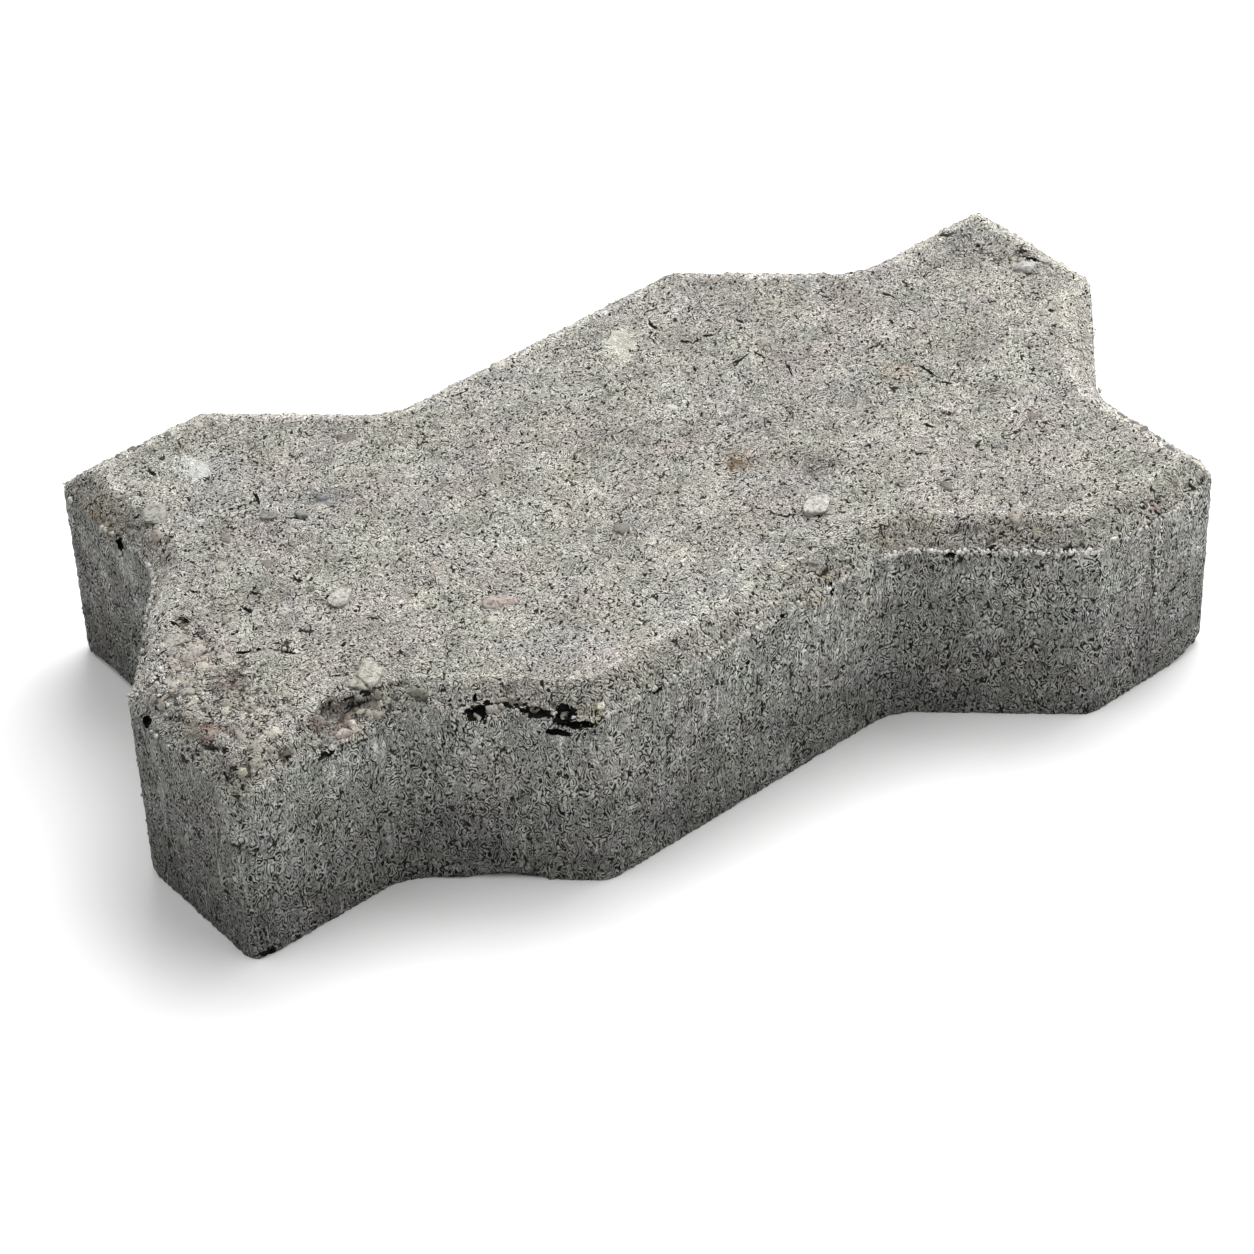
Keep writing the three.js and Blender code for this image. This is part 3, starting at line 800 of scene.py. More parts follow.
def rim_light(t, top):
    """Painted light and shade on the rims: the far ones painted pale, partly rubbing and partly light
    from behind; the near chamfer in painted shade below a ridge in painted light.
    """
    from_arris, rubbed, _ = t.split(t.painted("rim")["Vector"])
    pale = t.times(rubbed, t.remap(from_arris, *FAR_RIM_LIGHT_FADE, 0.0, FAR_RIM_PAINTED_LIGHT))
    near = t.times(t.minus(1.0, rubbed), top)
    near_shade = t.times(near, t.remap(from_arris, *NEAR_RIM_SHADE_FADE, 0.0, NEAR_RIM_PAINTED_SHADE))
    off_ridge = t.math("ABSOLUTE", t.minus(from_arris, RIDGE_PLACE))
    ridge = t.times(near, t.remap(off_ridge, *RIDGE_FADE, 0.0, RIDGE_PAINTED_LIGHT))
    return t.plus(t.plus(1.0, ridge), t.minus(pale, near_shade))


def weathered_tone(t, in_mm):
    """Cement colour before its grains: warm and pale on top, darker and cooler towards the foot, where
    the dark is painted shade near the floor.
    """
    length, _, height = t.split(in_mm)
    top = on_top(t, height)
    side_tone = t.mix(t.remap(height, 0.0, ARRIS_HEIGHT), SIDE_LOW_TONE, SIDE_HIGH_TONE)
    tone = t.mix(top, side_tone, TOP_TONE)
    clouds = t.noise(in_mm, CLOUD_SIZE, 1.0, 0.66, color=True)
    tone = t.mix(CLOUD_TINT, tone, clouds, "SOFT_LIGHT")
    mottle = t.spread(t.noise(in_mm, MOTTLE_SIZE, 3.0, 0.62), -MOTTLE, MOTTLE)
    broad = t.spread(t.noise(in_mm, BROAD_MOTTLE_SIZE, 2.0), -BROAD_MOTTLE, BROAD_MOTTLE)
    patchy = t.times(t.plus(mottle, broad), t.remap(top, 0.0, 1.0, 0.9, 1.0))
    # The sides at the left end are darker: painted shade.
    end = t.times(t.minus(1.0, top), t.remap(length, *LEFT_END_SHADE_REACH))
    patchy = t.minus(t.plus(patchy, 1.0), t.times(end, LEFT_END_PAINTED_SHADE))
    # Upright streaks from the mould, on the sides only.
    stretched = stretched_upwards(t, in_mm, STREAK_STRETCH)
    streak = t.spread(t.noise(stretched, STREAK_WIDTH, 2.0, 0.6), *STREAK)
    streak = t.plus(streak, t.times(top, t.minus(1.0, streak)))
    light = t.times(patchy, t.times(streak, rim_light(t, top)))
    plain = t.lit(tone, light)

    # Stains and patches painted on the points of the mesh, with ragged edges.
    stain = t.painted("stain")
    ragged = t.remap(t.noise(in_mm, STAIN_RAG_SIZE, 1.0, 0.65), 0.35, 0.65, *STAIN_RAG)
    share = t.times(stain["Alpha"], ragged, clamp=True)
    return t.mix(share, plain, stain["Color"])


DASH_EDGE = (0.75, 1.15)  # in half sizes from a dash's middle: where it fades


def dashes(t, vector, cell_size, share, half_length, half_width):
    """Short dark strokes: at most one in each cell, in a share of the cells, each with its own turn."""
    cell = t.cells(vector, cell_size)
    own = cell.outputs["Color"]
    from_middle = t.vector("SUBTRACT", vector, cell.outputs["Position"])
    turn = t.vector("SCALE", own, scale=2 * math.pi)
    inputs = {"Vector": from_middle, "Rotation": turn}
    turned = t.node("ShaderNodeVectorRotate", inputs, rotation_type="EULER_XYZ").outputs[0]
    out = t.length(t.vector("DIVIDE", turned, (half_length, half_width, half_width)))
    stroke = t.remap(out, *DASH_EDGE, 1.0, 0.0)
    present = t.math("LESS_THAN", t.split(own)[1], share)
    return t.times(stroke, present)


ELSEWHERE = (31.0, 57.0, 13.0)  # mm to a part of a noise that looks unrelated
# In levels of the noise: how slowly a stroke tapers, how soft its edges are, and where its lip, a
# painted highlight, is.
STROKE_TAPER = 0.12
STROKE_EDGE = 0.012
LIP_SETS_IN = (0.0, 0.015)
LIP_ENDS = (0.08, 0.02)


def strokes(t, vector, size, most, share):
    """Curved strokes with tapered ends: level lines of one noise, as wide as a second one lets them be.

    Gives the dark of the strokes, as painted shade, and the light of the lip along one side of each, as
    a painted highlight. The most is their widest, in the noise's own levels, and the share is the level
    of the second noise where they start.
    """
    level = t.minus(t.noise(vector, size, 0.0), 0.5)
    shifted = t.vector("ADD", vector, ELSEWHERE)
    above = t.minus(t.noise(shifted, 0.9 * size, 0.0), share)
    opening = t.math("DIVIDE", above, STROKE_TAPER, clamp=True)
    width = t.times_plus(opening, 1.5 * most, -0.5 * most)
    gap = t.minus(t.math("ABSOLUTE", level), width)
    dark = t.remap(gap, -STROKE_EDGE, STROKE_EDGE, 1.0, 0.0)
    beside = t.minus(level, width)
    lip = t.times(t.remap(beside, *LIP_SETS_IN), t.remap(beside, *LIP_ENDS))
    lip = t.times(lip, t.remap(width, -0.2 * most, 0.5 * most))
    return dark, lip


def broken_face_material(name, tone):
    """The face of a chip or hole, painted dark as the shade inside it together with dirt, its sand
    standing out.
    """
    material, t, shader = principled(name, roughness=1.0, specular=0.1)
    grain = t.noise(place_in_mm(t), 0.5, 3.0, 0.6)
    t.link(t.lit(tone, t.spread(grain, 0.5, 1.6)), shader.inputs["Base Color"])
    add_bump(t, shader, grain, 0.8, 0.25)
    return material


# The finest marks in concrete, in mm before they are stretched upwards. A stretch is a mark's width
# as a share of its height.
UPWARD_STRETCH = 0.6
FINER_ON_SIDES = 1.12
BEND_SIZE = 0.8
BEND = 0.5
RIPPLE_SIZE = 1.7
RIPPLES = 36.0  # how many radians of ripple the noise runs through
CROWD_SIZE = 7.0
OPENING_SIZE = 0.95
OPENING_FROM = (0.50, 0.555)  # the level of its noise where it starts, on the sides and on top
OPENING_TAPER = 0.05
MARKS_ON_SIDES = 0.98  # how dark marks are there, next to those on top
CREVICE_SIZE = 2.6
CREVICE_DARK = 0.78  # in the worn patches
# The crevices' near black: painted shade.
CREVICE_SHADE_TINT = (0.06, 0.055, 0.05, 1.0)
SAND_SIZE = 0.31
CURL_SIZE = 2.6
CURL_ON_SIDES = 2.4  # how much stronger the curls of sand are on the sides
MIDDLE_SIZE = 1.1
WORN_SHADE = 0.12  # how much darker the cement of the worn patches is painted: painted shade between their stones
FILM_SIZE = 5.0
FILM_STRETCH = 0.45
FILM_HEIGHT = (14.0, 36.0)  # where the mould's film starts and where it is full
FILM_CLOSES = 0.8  # the share of a mark that the mould's film hides
FILM_COVERS = (0.75, 0.95)  # the strength of a stain that hides what is under it
STAIN_CALMS = 0.65  # the share of the sand that such a stain hides
SCRATCH_WIDTH = 0.7
SCRATCH_STRETCH = 0.08
SCRATCH_LIGHT = 0.7


def crevice_marks(t, bent, shifted, ripple, top, worn):
    """Painted shade in the crevices between the grains, and a painted highlight on the lips beside some
    of them.
    """
    crowd = t.noise(shifted, CROWD_SIZE, 1.0)
    crowded = t.remap(crowd, 0.35, 0.65, 0.045, -0.045)
    least = t.plus(t.remap(top, 0.0, 1.0, *OPENING_FROM), crowded)
    least = t.times_plus(worn, -0.03, least)
    above = t.minus(t.noise(shifted, OPENING_SIZE, 0.0), least)
    opening = t.math("DIVIDE", above, OPENING_TAPER, clamp=True)
    line = t.times(t.remap(ripple, -0.15, -0.65), opening)
    arc, arc_lip = strokes(t, bent, size=3.2, most=0.020, share=0.52)
    blot = dashes(t, bent, cell_size=1.3, share=0.55, half_length=0.45, half_width=0.26)
    mark = t.math("MAXIMUM", t.math("MAXIMUM", line, arc), blot)
    # In the worn patches painted shade runs in crevices between the stones.
    between = t.math("ABSOLUTE", t.minus(t.noise(bent, CREVICE_SIZE, 1.0), 0.5))
    here = t.remap(t.noise(shifted, 2.0, 0.0), 0.44, 0.52)
    crevice = t.times(t.remap(between, 0.055, 0.03), here)
    mark = t.math("MAXIMUM", mark, t.times(crevice, t.remap(worn, 0.15, 0.4, 0.0, CREVICE_DARK)))
    return mark, arc_lip


def mould_film(t, in_mm, height, top):
    """Films of cement that the mould smoothed over the upper part of the sides."""
    cloud = t.noise(stretched_upwards(t, in_mm, FILM_STRETCH), FILM_SIZE, 3.0, 0.65)
    film = t.times(t.remap(cloud, 0.54, 0.62), t.remap(height, *FILM_HEIGHT))
    return t.times(film, t.minus(1.0, top))


def mould_scratches(t, in_mm, top):
    """Thin pale upright scratches on the sides."""
    fine = t.noise(stretched_upwards(t, in_mm, SCRATCH_STRETCH), SCRATCH_WIDTH, 0.0)
    here = t.remap(t.noise(in_mm, 9.0), 0.45, 0.6, 0.0, SCRATCH_LIGHT)
    scratch = t.times(t.remap(fine, 0.64, 0.72), here)
    return t.times(scratch, t.minus(1.0, top))


def sand_worms(t, drawn, shifted, ripple, arc_lip, top, film, scratches):
    """Fine worms of light and dark sand: how light they are, and their relief."""
    curl = t.remap(t.noise(shifted, CURL_SIZE, 0.0), 0.4, 0.6, 0.10, 0.34)
    curl = t.times(curl, t.remap(top, 0.0, 1.0, CURL_ON_SIDES, 1.0))
    fine = t.remap(t.noise(drawn, SAND_SIZE, 0.0), 0.25, 0.75, 0.5, 1.5)
    fine = t.plus(scratches, t.times_plus(film, 0.2, fine))
    # The lips beside the strokes add a painted highlight.
    bright = t.times_plus(ripple, curl, t.times_plus(arc_lip, 0.3, fine))
    middle = t.spread(t.noise(drawn, MIDDLE_SIZE, 1.0, 0.6), 0.87, 1.13)
    relief = t.times_plus(ripple, 0.5, t.times_plus(middle, 2.0, fine))
    return t.times(bright, middle), relief


def concrete_material():
    """Weathered grey concrete: sandy and pale on top, darker and dragged on the sides."""
    material, t, shader = principled("weathered_concrete", roughness=0.93, specular=0.2)
    in_mm = place_in_mm(t)
    tone = weathered_tone(t, in_mm)
    height = t.split(in_mm)[2]
    top = on_top(t, height)
    worn = t.painted("worn")["Fac"]

    # The finest marks are drawn in a space that is stretched upwards, and finer on the sides.
    above = t.math("GREATER_THAN", height, ARRIS_HEIGHT)
    drawn = stretched_upwards(t, in_mm, UPWARD_STRETCH)
    finer = t.times_plus(above, 1.0 - FINER_ON_SIDES, FINER_ON_SIDES)
    drawn = t.vector("SCALE", drawn, scale=finer)
    bent = t.vector("ADD", drawn, t.vector("SCALE", t.swirl(drawn, BEND_SIZE, 0.0), scale=BEND))
    shifted = t.vector("ADD", drawn, ELSEWHERE)
    ripple = t.math("SINE", t.times(t.noise(bent, RIPPLE_SIZE, 0.0), RIPPLES))

    # Films of cement, and strong stains of lime or cement, close the crevices and hide the sand.
    mark, arc_lip = crevice_marks(t, bent, shifted, ripple, top, worn)
    film = mould_film(t, in_mm, height, top)
    calm = t.remap(t.painted("stain")["Alpha"], *FILM_COVERS)
    mark = t.times(mark, t.times_plus(film, -FILM_CLOSES, 1.0))
    mark = t.times(mark, t.minus(1.0, calm))
    mark = t.times(mark, t.times_plus(top, 1.0 - MARKS_ON_SIDES, MARKS_ON_SIDES))

    scratches = mould_scratches(t, in_mm, top)
    light, relief = sand_worms(t, drawn, shifted, ripple, arc_lip, top, film, scratches)
    light = t.times_plus(calm, t.times(t.minus(1.0, light), STAIN_CALMS), light)
    light = t.times(light, t.times_plus(worn, -WORN_SHADE, 1.0))
    grained = t.lit(tone, light)
    # Painted shade: the marks of the crevices and pits darken the colour towards near black.
    dark = t.mix(1.0, grained, CREVICE_SHADE_TINT, "MULTIPLY")
    t.link(t.mix(mark, grained, dark), shader.inputs["Base Color"])
    add_bump(t, shader, relief, 0.9, 0.14)
    return material


# How the own number of a grain or a small stone tints the cement's colour.
GRAIN_TINTS = {
    0.0: (0.42, 0.40, 0.38, 1.0),
    0.14: (0.72, 0.70, 0.68, 1.0),
    0.20: (0.96, 0.96, 0.96, 1.0),
    0.80: (1.10, 1.10, 1.10, 1.0),
    0.88: (1.15, 1.02, 0.92, 1.0),
    0.93: (1.45, 1.43, 1.36, 1.0),
    1.0: (1.9, 1.88, 1.8, 1.0),
}
STONE_TINTS = {
    0.0: (0.62, 0.59, 0.56, 1.0),
    0.14: (0.86, 0.81, 0.78, 1.0),
    0.30: (1.18, 1.11, 1.05, 1.0),
    0.55: (1.28, 1.26, 1.22, 1.0),
    0.80: (1.38, 1.36, 1.31, 1.0),
    1.0: (1.54, 1.52, 1.46, 1.0),
}


def grain_material():
    """Sand in the face: each grain a little lighter, darker or warmer than the cement round it."""
    material, t, shader = principled("sand_in_cement", roughness=0.85, specular=0.3)
    in_mm = place_in_mm(t)
    tint = t.ramp(t.painted("tint")["Fac"], GRAIN_TINTS)
    tone = t.mix(1.0, weathered_tone(t, in_mm), tint, "MULTIPLY")
    t.link(tone, shader.inputs["Base Color"])
    add_bump(t, shader, t.noise(in_mm, 0.3, 2.0), 0.5, 0.1)
    return material


def small_stone_material():
    """The worn patches' stones: dusted with cement, each with a slight colour of its own."""
    material, t, shader = principled("dusted_stone", roughness=0.88, specular=0.25)
    in_mm = place_in_mm(t)
    tint = t.ramp(t.painted("tint")["Fac"], STONE_TINTS)
    fine = t.spread(t.noise(in_mm, 0.35, 2.0, 0.6), 0.75, 1.2)
    pits = t.remap(t.noise(in_mm, 0.8, 1.0), 0.60, 0.66, 1.0, 0.35)
    cement = weathered_tone(t, in_mm)
    # A strong film of lime or cement covers the stones as well.
    film = t.remap(t.painted("stain")["Alpha"], *FILM_COVERS)
    tone = t.mix(film, t.mix(1.0, cement, tint, "MULTIPLY"), cement)
    light = t.times(t.times(fine, pits), 0.9)
    t.link(t.lit(tone, light), shader.inputs["Base Color"])
    add_bump(t, shader, t.plus(fine, pits), 0.8, 0.14)
    return material


MOST_DUST = 0.34


def showing_stone_material():
    """Bare stones with a colour of their own, dusted with cement."""
    material, t, shader = principled("bare_stone", roughness=0.8, specular=0.3)
    in_mm = place_in_mm(t)
    own = t.painted("own_colour")["Color"]
    dust = t.remap(t.noise(in_mm, 1.0, 3.0, 0.6), 0.45, 0.62)
    tone = t.mix(t.times(dust, MOST_DUST), own, weathered_tone(t, in_mm))
    fine = t.spread(t.noise(in_mm, 0.4, 3.0, 0.6), 0.72, 1.24)
    pits = t.remap(t.noise(in_mm, 0.7, 1.0), 0.58, 0.63, 1.0, 0.6)
    t.link(t.lit(tone, t.times(fine, pits)), shader.inputs["Base Color"])
    add_bump(t, shader, t.plus(fine, pits), 0.6, 0.12)
    return material


BURR_TONE = (0.55, 0.536, 0.495, 1.0)
BURR_WHITENS = (28.0, 48.0)  # mm to the right
BURR_SHADE = 0.88  # left of that


def burr_material():
    """The pale crumbly cement of the burr."""
    material, t, shader = principled("burr_cement", roughness=0.93, specular=0.2)
    in_mm = place_in_mm(t)
    crumb = t.noise(in_mm, 0.6, 2.0, 0.6)
    # The burr is whitest in the right hollow.
    whiter = t.remap(t.split(in_mm)[0], *BURR_WHITENS, BURR_SHADE, 1.0)
    light = t.times(t.spread(crumb, 0.7, 1.25), whiter)
    t.link(t.lit(BURR_TONE, light), shader.inputs["Base Color"])
    add_bump(t, shader, crumb, 0.8, 0.15)
    return material


def floor_material():
    material, _, shader = principled("pale_floor", roughness=1.0, specular=0.0)
    shader.inputs["Base Color"].default_value = (0.93, 0.93, 0.93, 1.0)
    return material


# ---------------------------------------------------------------- the stone


def new_object(name, mesh):
    made = bpy.data.objects.new(name, mesh)
    bpy.context.scene.collection.objects.link(made)
    return made


def merged_copy(node, name):
    """A copy of a CAD node with its loose triangles joined into one closed skin."""
    mesh = node.data.copy()
    shell = bmesh.new()
    shell.from_mesh(mesh)
    bmesh.ops.remove_doubles(shell, verts=shell.verts, dist=0.001 * MM)
    shell.to_mesh(mesh)
    shell.free()
    mesh.materials.clear()
    return new_object(name, mesh)


def evaluated_mesh(piece):
    """The piece's mesh with its modifiers applied."""
    graph = bpy.context.evaluated_depsgraph_get()
    return bpy.data.meshes.new_from_object(piece.evaluated_get(graph), depsgraph=graph)


def apply_modifiers(piece):
    """Replaces the piece's mesh by what its modifiers make of it, and removes them."""
    mesh = evaluated_mesh(piece)
    piece.modifiers.clear()
    piece.data = mesh
    return mesh


def triangle_count(mesh):
    return sum(len(polygon.vertices) - 2 for polygon in mesh.polygons)


def placing(middle, half, turn):
    """The matrix that carries a unit ball to its place, size and turn, in metres."""
    sizes = Matrix.Diagonal((*(value * MM for value in half), 1.0))
    turned = Matrix.Rotation(math.radians(turn), 4, "Z")
    return Matrix.Translation(Vector(middle) * MM) @ turned @ sizes


# How fine the lumps on a unit ball are, and how uneven they make what it cuts.
COARSE_LUMPS = 1.4
FINE_LUMPS = 4.0
FINE_LUMP_SHARE = 0.4
CHIP_UNEVENNESS = 0.6
CREVICE_UNEVENNESS = 1.0


def lumpy_ball(middle, half, turn, unevenness, subdivisions=3):
    """A bmesh of a ball made uneven by noise, at its place and size. Each place gives its own lumps."""
    ball = bmesh.new()
    bmesh.ops.create_icosphere(ball, subdivisions=subdivisions, radius=1.0)
    seed = Vector(middle)
    for vert in ball.verts:
        vert.co *= 1.0 + unevenness * noise.noise(vert.co * COARSE_LUMPS + seed)
        vert.co *= 1.0 + FINE_LUMP_SHARE * unevenness * noise.noise(vert.co * FINE_LUMPS + seed)
    ball.transform(placing(middle, half, turn))
    return ball


# A broken stone, as a unit: facets of its own with their range of distances from the middle,
# the facets that every one has with theirs, and how sharp the edges between facets are.
OWN_FACETS = 12
OWN_FACET_RANGE = (0.62, 0.95)
SHARED_FACETS = {
    (1.0, 0.0, 0.0): 0.95,
    (-1.0, 0.0, 0.0): 0.95,
    (0.0, 1.0, 0.0): 0.95,
    (0.0, -1.0, 0.0): 0.95,
    (0.08, -0.06, 1.0): 0.72,
    (0.0, 0.0, -1.0): 0.8,
}
SHARPNESS = 12
FACET_LUMP = 0.07


def broken_stone(middle, half, turn):
    """A bmesh of a broken stone: flat facets with worn edges, at its place and size."""
    stone = bmesh.new()
    bmesh.ops.create_icosphere(stone, subdivisions=4, radius=1.0)
    draw = np.random.default_rng([round(abs(value) * 10) for value in middle])
    facets = draw.normal(size=(OWN_FACETS, 3))
    facets /= np.linalg.norm(facets, axis=1)[:, None]
    facets = np.vstack((facets, *SHARED_FACETS))
    own_depths = draw.uniform(*OWN_FACET_RANGE, OWN_FACETS)
    depths = np.append(own_depths, list(SHARED_FACETS.values()))
    seed = Vector(middle)
    for vert in stone.verts:
        lean = np.maximum(facets @ vert.co, 0.0) / depths
        lump = 1.0 + FACET_LUMP * noise.noise(vert.co * FINE_LUMPS + seed)
        vert.co *= (lean**SHARPNESS).sum() ** (-1 / SHARPNESS) * lump
    stone.transform(placing(middle, half, turn))
    return stone


def add_cutter(cutters, name, ball, material):
    """Makes the bmesh an object of the collection. The material is that of the faces it cuts."""
    mesh = bpy.data.meshes.new(name)
    ball.to_mesh(mesh)
    ball.free()
    if material:
        mesh.materials.append(material)
    cutters.objects.link(bpy.data.objects.new(name, mesh))


def chip_cutters(name, shades, material=None):
    """A collection of the balls that cut the chips of the given shades. The crevices are earthy."""
    cutters = bpy.data.collections.new(name)
    for chip, (middle, half, turn, shade) in CHIPS.items():
        if shade in shades:
            ball = lumpy_ball(middle, half, turn, CHIP_UNEVENNESS, subdivisions=4)
            add_cutter(cutters, chip, ball, material)
    if EARTHY in shades:
        for crevice, (middle, length, width, turn) in CREVICES.items():
            half = (length, width, CREVICE_DEPTH)
            ball = lumpy_ball(middle, half, turn, CREVICE_UNEVENNESS)
            add_cutter(cutters, crevice, ball, material)
    return cutters


def cut_away(piece, cutters):
    """Adds a modifier that cuts the collection's solids out of the piece."""
    cut = piece.modifiers.new(cutters.name, "BOOLEAN")
    cut.operation = "DIFFERENCE"
    cut.solver = "MANIFOLD"
    cut.material_mode = "TRANSFER"
    cut.operand_type = "COLLECTION"
    cut.collection = cutters


def drop(cutters):
    """Removes the collection and its objects."""
    for cutter in list(cutters.objects):
        bpy.data.objects.remove(cutter)
    bpy.data.collections.remove(cutters)


def reach(points, middle, half, turn):
    """How far points (mm) lie from an ellipsoid's middle: 0 there and 1 at its surface."""
    angle = math.radians(turn)
    offset = points - np.array(middle)
    along = offset[:, 0] * math.cos(angle) + offset[:, 1] * math.sin(angle)
    across = offset[:, 1] * math.cos(angle) - offset[:, 0] * math.sin(angle)
    shares = (along / half[0], across / half[1], offset[:, 2] / half[2])
    return np.sqrt(sum(share**2 for share in shares))


# How far a colour seen on the screen is dimmed for its shader, by how much its face looks up.
FACING_UP = (0.2, 0.7, 0.95)
DIMMING = (1.1, 0.92, 0.6)


def points_in_mm(mesh):
    points = np.empty(len(mesh.vertices) * 3)
    mesh.vertices.foreach_get("co", points)
    return points.reshape(-1, 3) / MM


# Patches are ellipsoids with ragged edges: 0 is their middle and 1 their surface.
COARSE_RAGS = 0.45  # per mm
FINE_RAGS = 1.3  # per mm
FADED_AT = 1.25
FADE_WIDTH = 0.6
WORN_REACH = 1.9
WORN_RAGS = 0.8
STAIN_REACH = 1.7
STAIN_RAGS = 0.7
UNSTAINED_GREY = 0.3


def ragged_share(points, near, distance, rags):
    """How strongly a patch covers each near point: 1 inside and 0 outside its ragged edge."""
    places = [Vector(points[index]) for index in near]
    shifts = [noise.noise(at * COARSE_RAGS) + 0.5 * noise.noise(at * FINE_RAGS) for at in places]
    return np.clip((FADED_AT - distance[near] - rags * np.array(shifts)) / FADE_WIDTH, 0.0, 1.0)


def paint_wear(mesh):
    """Stores how far each point of the mesh is worn."""
    points = points_in_mm(mesh)
    worn = np.where(points[:, 2] > ARRIS_HEIGHT + 2.0, LEAST_WORN, 0.0)
    for middle, half, turn, most in WORN_PATCHES.values():
        distance = reach(points, middle, half, turn)
        near = np.nonzero(distance < WORN_REACH)[0]
        share = ragged_share(points, near, distance, WORN_RAGS)
        worn[near] = np.maximum(worn[near], most * share)
    layer = mesh.attributes.new("worn", "FLOAT", "POINT")
    layer.data.foreach_set("value", worn.astype(np.float32))


def paint_stains(mesh):
    """Paints the stains on the mesh's points, as colour and strength."""
    points = points_in_mm(mesh)
    colour = np.full((len(points), 3), UNSTAINED_GREY)
    strength = np.zeros(len(points))
    facing = np.empty(len(mesh.vertices) * 3)
    mesh.vertex_normals.foreach_get("vector", facing)
    dimming = np.interp(facing.reshape(-1, 3)[:, 2], FACING_UP, DIMMING)
    for middle, half, turn, level, most in STAINS.values():
        distance = reach(points, middle, half, turn)
        near = np.nonzero(distance < STAIN_REACH)[0]
        share = ragged_share(points, near, distance, STAIN_RAGS) * most
        old = strength[near] * (1.0 - share)
        total = np.maximum(old + share, 1e-6)
        target = np.array(swatch(*level)[:3]) * dimming[near][:, None]
        colour[near] = (colour[near] * old[:, None] + target * share[:, None]) / total[:, None]
        strength[near] = old + share
    layer = mesh.attributes.new("stain", "FLOAT_COLOR", "POINT")
    layer.data.foreach_set("color", np.column_stack((colour, strength)).astype(np.float32).ravel())


ON_LEVEL = 0.01  # mm within which a point of the solid lies on the arris
LEAST_GAP = 0.01  # mm
LIT_RIM_FACING = -23.17  # degrees about Z from +Y, the way that the far rims painted pale face: partly rubbing, partly painted light
LIT_RIM_FADE = 1.5  # how sharply it ends where the outline turns away


def mark_rim(mesh, solid):
    """Gives each point its distance in plan from the solid's arris (mm) and whether it is on a far rim
    painted pale, partly as rubbing and partly as painted light.
    """
    verts = [vert.co / MM for vert in solid.vertices]
    on_arris = [abs(place.z - ARRIS_HEIGHT) < ON_LEVEL for place in verts]
    runs = [edge.vertices for edge in solid.edges if all(on_arris[end] for end in edge.vertices)]
    points = points_in_mm(mesh)
    least = np.full(len(points), math.inf)
    inward = np.zeros((len(points), 2))
    for first, second in runs:
        start = np.array(verts[first].xy)
        along = np.array(verts[second].xy) - start
        offset = points[:, :2] - start
        share = np.clip(offset @ along / (along @ along), 0.0, 1.0)
        gap = offset - share[:, None] * along
        distance = np.hypot(gap[:, 0], gap[:, 1])
        closer = distance < least
        least[closer] = distance[closer]
        inward[closer] = gap[closer] / np.maximum(distance[closer], LEAST_GAP)[:, None]
    # The share of each point on a far rim that is painted pale: partly rubbing, partly painted light.
    turn = math.radians(LIT_RIM_FACING)
    facing_off = inward @ (-math.sin(turn), math.cos(turn))
    rubbed = np.clip(0.5 - LIT_RIM_FADE * facing_off, 0.0, 1.0)
    least[points[:, 2] < ARRIS_HEIGHT] = 0.0
    rubbed[points[:, 2] < ARRIS_HEIGHT - 0.5] = 0.0
    layer = mesh.attributes.new("rim", "FLOAT_VECTOR", "POINT")
    layer.data.foreach_set("vector", np.column_stack((least, rubbed, rubbed)).astype(np.float32).ravel())


EDGE_BAND = 2.5  # mm above and below the arris where a face's slope tells which side it is on
UPRIGHT_SLOPE = 0.35


def sharpen_borders(mesh):
    """Gives a hard edge to the arris and to every line where one material meets another."""

    def kind(face):
        level = face.calc_center_median().z / MM - ARRIS_HEIGHT
        upright = level < -EDGE_BAND or (level < EDGE_BAND and face.normal.z < UPRIGHT_SLOPE)
        return face.material_index, upright

    shell = bmesh.new()
    shell.from_mesh(mesh)
    for edge in shell.edges:
        edge.smooth = len({kind(face) for face in edge.link_faces}) == 1
    shell.to_mesh(mesh)
    shell.free()


REMESH_SIZE = 0.45  # mm between points before the relief is made
MOST_TRIANGLES = 160000  # before the holes are cut
# Tones of the broken faces: painted shade of holes and crevices, with dirt.
HOLE_SHADE_TONE = (0.010, 0.0105, 0.010, 1.0)
EARTHY_SHADE_TONE = (0.042, 0.039, 0.033, 1.0)


def cast_stone(material):
    """The whole stone as one rough closed mesh."""
    piece = merged_copy(frame["nodes"][STONE_NODE], "cast_stone")
    spalls = chip_cutters("spalls", (BARE,))
    cut_away(piece, spalls)
    remesh = piece.modifiers.new("even_mesh", "REMESH")
    remesh.mode = "VOXEL"
    remesh.voxel_size = REMESH_SIZE * MM
    paint_wear(apply_modifiers(piece))
    add_geometry_modifier(piece, rough_cast_tree(), {**CAST_SIZES, "Material": material})
    mesh = apply_modifiers(piece)
    drop(spalls)
    thin = piece.modifiers.new("thinning", "DECIMATE")
    thin.ratio = min(1.0, MOST_TRIANGLES / triangle_count(mesh))
    mesh = apply_modifiers(piece)
    mesh.shade_smooth()
    holes = chip_cutters("holes", (DARK,), broken_face_material("dark_broken_face", HOLE_SHADE_TONE))
    scars = chip_cutters("scars", (EARTHY,), broken_face_material("earthy_broken_face", EARTHY_SHADE_TONE))
    cut_away(piece, holes)
    cut_away(piece, scars)
    mesh = apply_modifiers(piece)
    drop(holes)
    drop(scars)
    sharpen_borders(mesh)
    mesh.attributes.remove(mesh.attributes["worn"])
    paint_wear(mesh)
    paint_stains(mesh)
    solid = merged_copy(frame["nodes"][STONE_NODE], "plain_solid")
    mark_rim(mesh, solid.data)
    bpy.data.objects.remove(solid)
    return piece


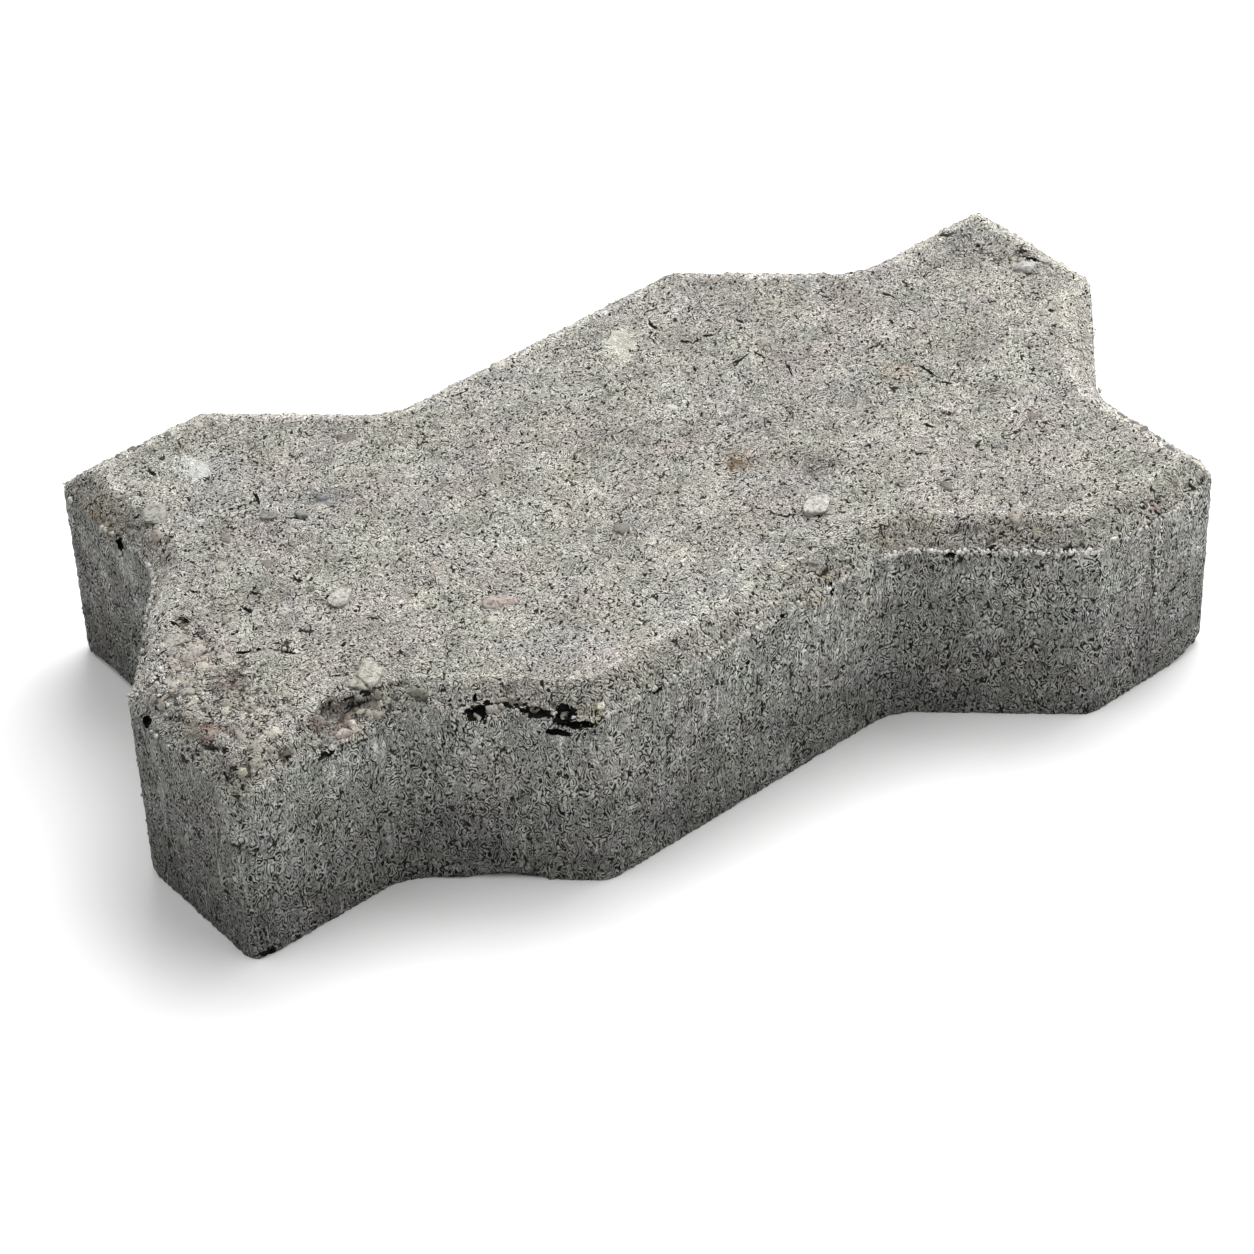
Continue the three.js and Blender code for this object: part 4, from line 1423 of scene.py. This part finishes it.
def arris_burr(material):
    """The burr, grown along the arris line of the CAD solid."""
    piece = merged_copy(frame["nodes"][STONE_NODE], "arris_burr")
    shell = bmesh.new()
    shell.from_mesh(piece.data)
    off_line = [v for v in shell.verts if abs(v.co.z / MM - ARRIS_HEIGHT) > ON_LEVEL]
    bmesh.ops.delete(shell, geom=off_line, context="VERTS")
    shell.to_mesh(piece.data)
    shell.free()
    add_geometry_modifier(piece, mould_burr_tree(), {**BURR_SIZES, "Material": material})
    apply_modifiers(piece)
    return piece


def grown_on(base, name, tree, sizes, material):
    """A piece that a geometry tree grows on the base's surface."""
    piece = new_object(name, base.data.copy())
    add_geometry_modifier(piece, tree, {**sizes, "Material": material})
    apply_modifiers(piece)
    return piece


LEVEL_STONE = 48.0  # mm above which a stone's middle is in the level top


def rim_crumbs():
    """The crumbs as middle, half sizes, turn and colour."""
    for index, place in enumerate(RIM_CRUMBS):
        yield (*place, CRUMB_LEVEL), CRUMB_HALF, CRUMB_TURN * index, CRUMB_COLOUR


def showing_stones(material):
    """The bare stones as one piece, each painted in its own colour."""
    joined = bmesh.new()
    paint = joined.verts.layers.float_color.new("own_colour")
    for middle, half, turn, level in (*SHOWING_STONES.values(), *rim_crumbs()):
        dimming = DIMMING[2] if middle[2] > LEVEL_STONE else DIMMING[1]
        stone = broken_stone(middle, half, turn)
        matched = {vert: joined.verts.new(vert.co) for vert in stone.verts}
        for vert in matched.values():
            vert[paint] = Vector(swatch(*level)) * dimming
        for face in stone.faces:
            joined.faces.new([matched[vert] for vert in face.verts])
        stone.free()
    mesh = bpy.data.meshes.new("showing_stones")
    joined.to_mesh(mesh)
    joined.free()
    mesh.shade_smooth()
    mesh.materials.append(material)
    return new_object("showing_stones", mesh)


# ---------------------------------------------------------------- studio


FLOOR_HALF = 6.0  # m


def floor():
    """A large pale floor at the height of the underside."""
    mesh = bpy.data.meshes.new("floor")
    corners = [(x * FLOOR_HALF, y * FLOOR_HALF, 0) for x, y in ((-1, -1), (1, -1), (1, 1), (-1, 1))]
    mesh.from_pydata(corners, [], [(0, 1, 2, 3)])
    mesh.materials.append(floor_material())
    new_object("floor", mesh)


def soft_light(name, turn, rise, power):
    """A square area light that looks at the stone."""
    lamp = bpy.data.lights.new(name, "AREA")
    lamp.shape = "SQUARE"
    lamp.size = SOFTBOX_SIZE
    lamp.energy = power
    level = Vector((math.cos(turn), math.sin(turn), 0.0))
    place = (level * math.cos(rise) + Vector((0.0, 0.0, math.sin(rise)))) * SOFTBOX_DISTANCE
    made = bpy.data.objects.new(name, lamp)
    made.location = place
    made.rotation_mode = "QUATERNION"
    made.rotation_quaternion = (-place).to_track_quat("-Z", "Y")
    bpy.context.scene.collection.objects.link(made)


# Square soft boxes that look at the stone: degrees round it and above the floor, and watts.
SOFTBOXES = {
    "softbox_back_right": (45.0, 62.0, 16.3),
    "softbox_right": (0.0, 35.0, 4.4),
    "softbox_near_right": (-45.0, 35.0, 5.9),
    "softbox_left": (180.0, 62.0, 5.9),
}
SOFTBOX_SIZE = 0.9  # m
SOFTBOX_DISTANCE = 1.2  # m
WORLD_LIGHT = 0.1


def studio():
    """A dim white world and the soft boxes."""
    world = bpy.data.worlds.new("studio")
    world.use_nodes = True
    background = world.node_tree.nodes["Background"]
    background.inputs["Color"].default_value = (1.0, 1.0, 1.0, 1.0)
    background.inputs["Strength"].default_value = WORLD_LIGHT
    bpy.context.scene.world = world
    bpy.context.scene.view_settings.view_transform = "Standard"
    for name, (turn, rise, power) in SOFTBOXES.items():
        soft_light(name, math.radians(turn), math.radians(rise), power)


# The camera's standpoint: degrees, and millimetres from the stone's origin.
CAMERA_AZIMUTH = -23.17
CAMERA_ELEVATION = 40.49
CAMERA_ROLL = -2.53
CAMERA_DISTANCE = 887.05
CAMERA_RIGHT = -3.55
CAMERA_UP = 3.62
LENS = 116.41  # mm
SENSOR = 36.0  # mm


def camera():
    """The camera, turned about its line of sight by its roll."""
    azimuth, elevation, roll = map(math.radians, (CAMERA_AZIMUTH, CAMERA_ELEVATION, CAMERA_ROLL))
    level = math.cos(elevation)
    drop_down = -math.sin(elevation)
    forward = Vector((-math.sin(azimuth) * level, math.cos(azimuth) * level, drop_down))
    right = Vector((math.cos(azimuth), math.sin(azimuth), 0.0))
    up = right.cross(forward)
    rolled_right = right * math.cos(roll) + up * math.sin(roll)
    rolled_up = up * math.cos(roll) - right * math.sin(roll)
    place = rolled_right * CAMERA_RIGHT + rolled_up * CAMERA_UP - forward * CAMERA_DISTANCE
    data = bpy.data.cameras.new("camera")
    data.sensor_width = SENSOR
    data.lens = LENS
    data.clip_start = 0.01
    data.clip_end = 20.0
    made = bpy.data.objects.new("camera", data)
    axes = Matrix((rolled_right, rolled_up, -forward)).transposed()
    made.matrix_world = Matrix.Translation(place * MM) @ axes.to_4x4()
    bpy.context.scene.collection.objects.link(made)
    bpy.context.scene.camera = made


# ---------------------------------------------------------------- making it all

camera()
studio()
floor()
stone = cast_stone(concrete_material())
pieces = [
    stone,
    arris_burr(burr_material()),
    grown_on(stone, "sand_grains", sand_grain_tree(), GRAIN_SIZES, grain_material()),
    grown_on(stone, "exposed_stones", exposed_stones_tree(), EXPOSED_SIZES, small_stone_material()),
    showing_stones(showing_stone_material()),
]
for piece in pieces:
    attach(piece, "root")
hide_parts(STONE_NODE)
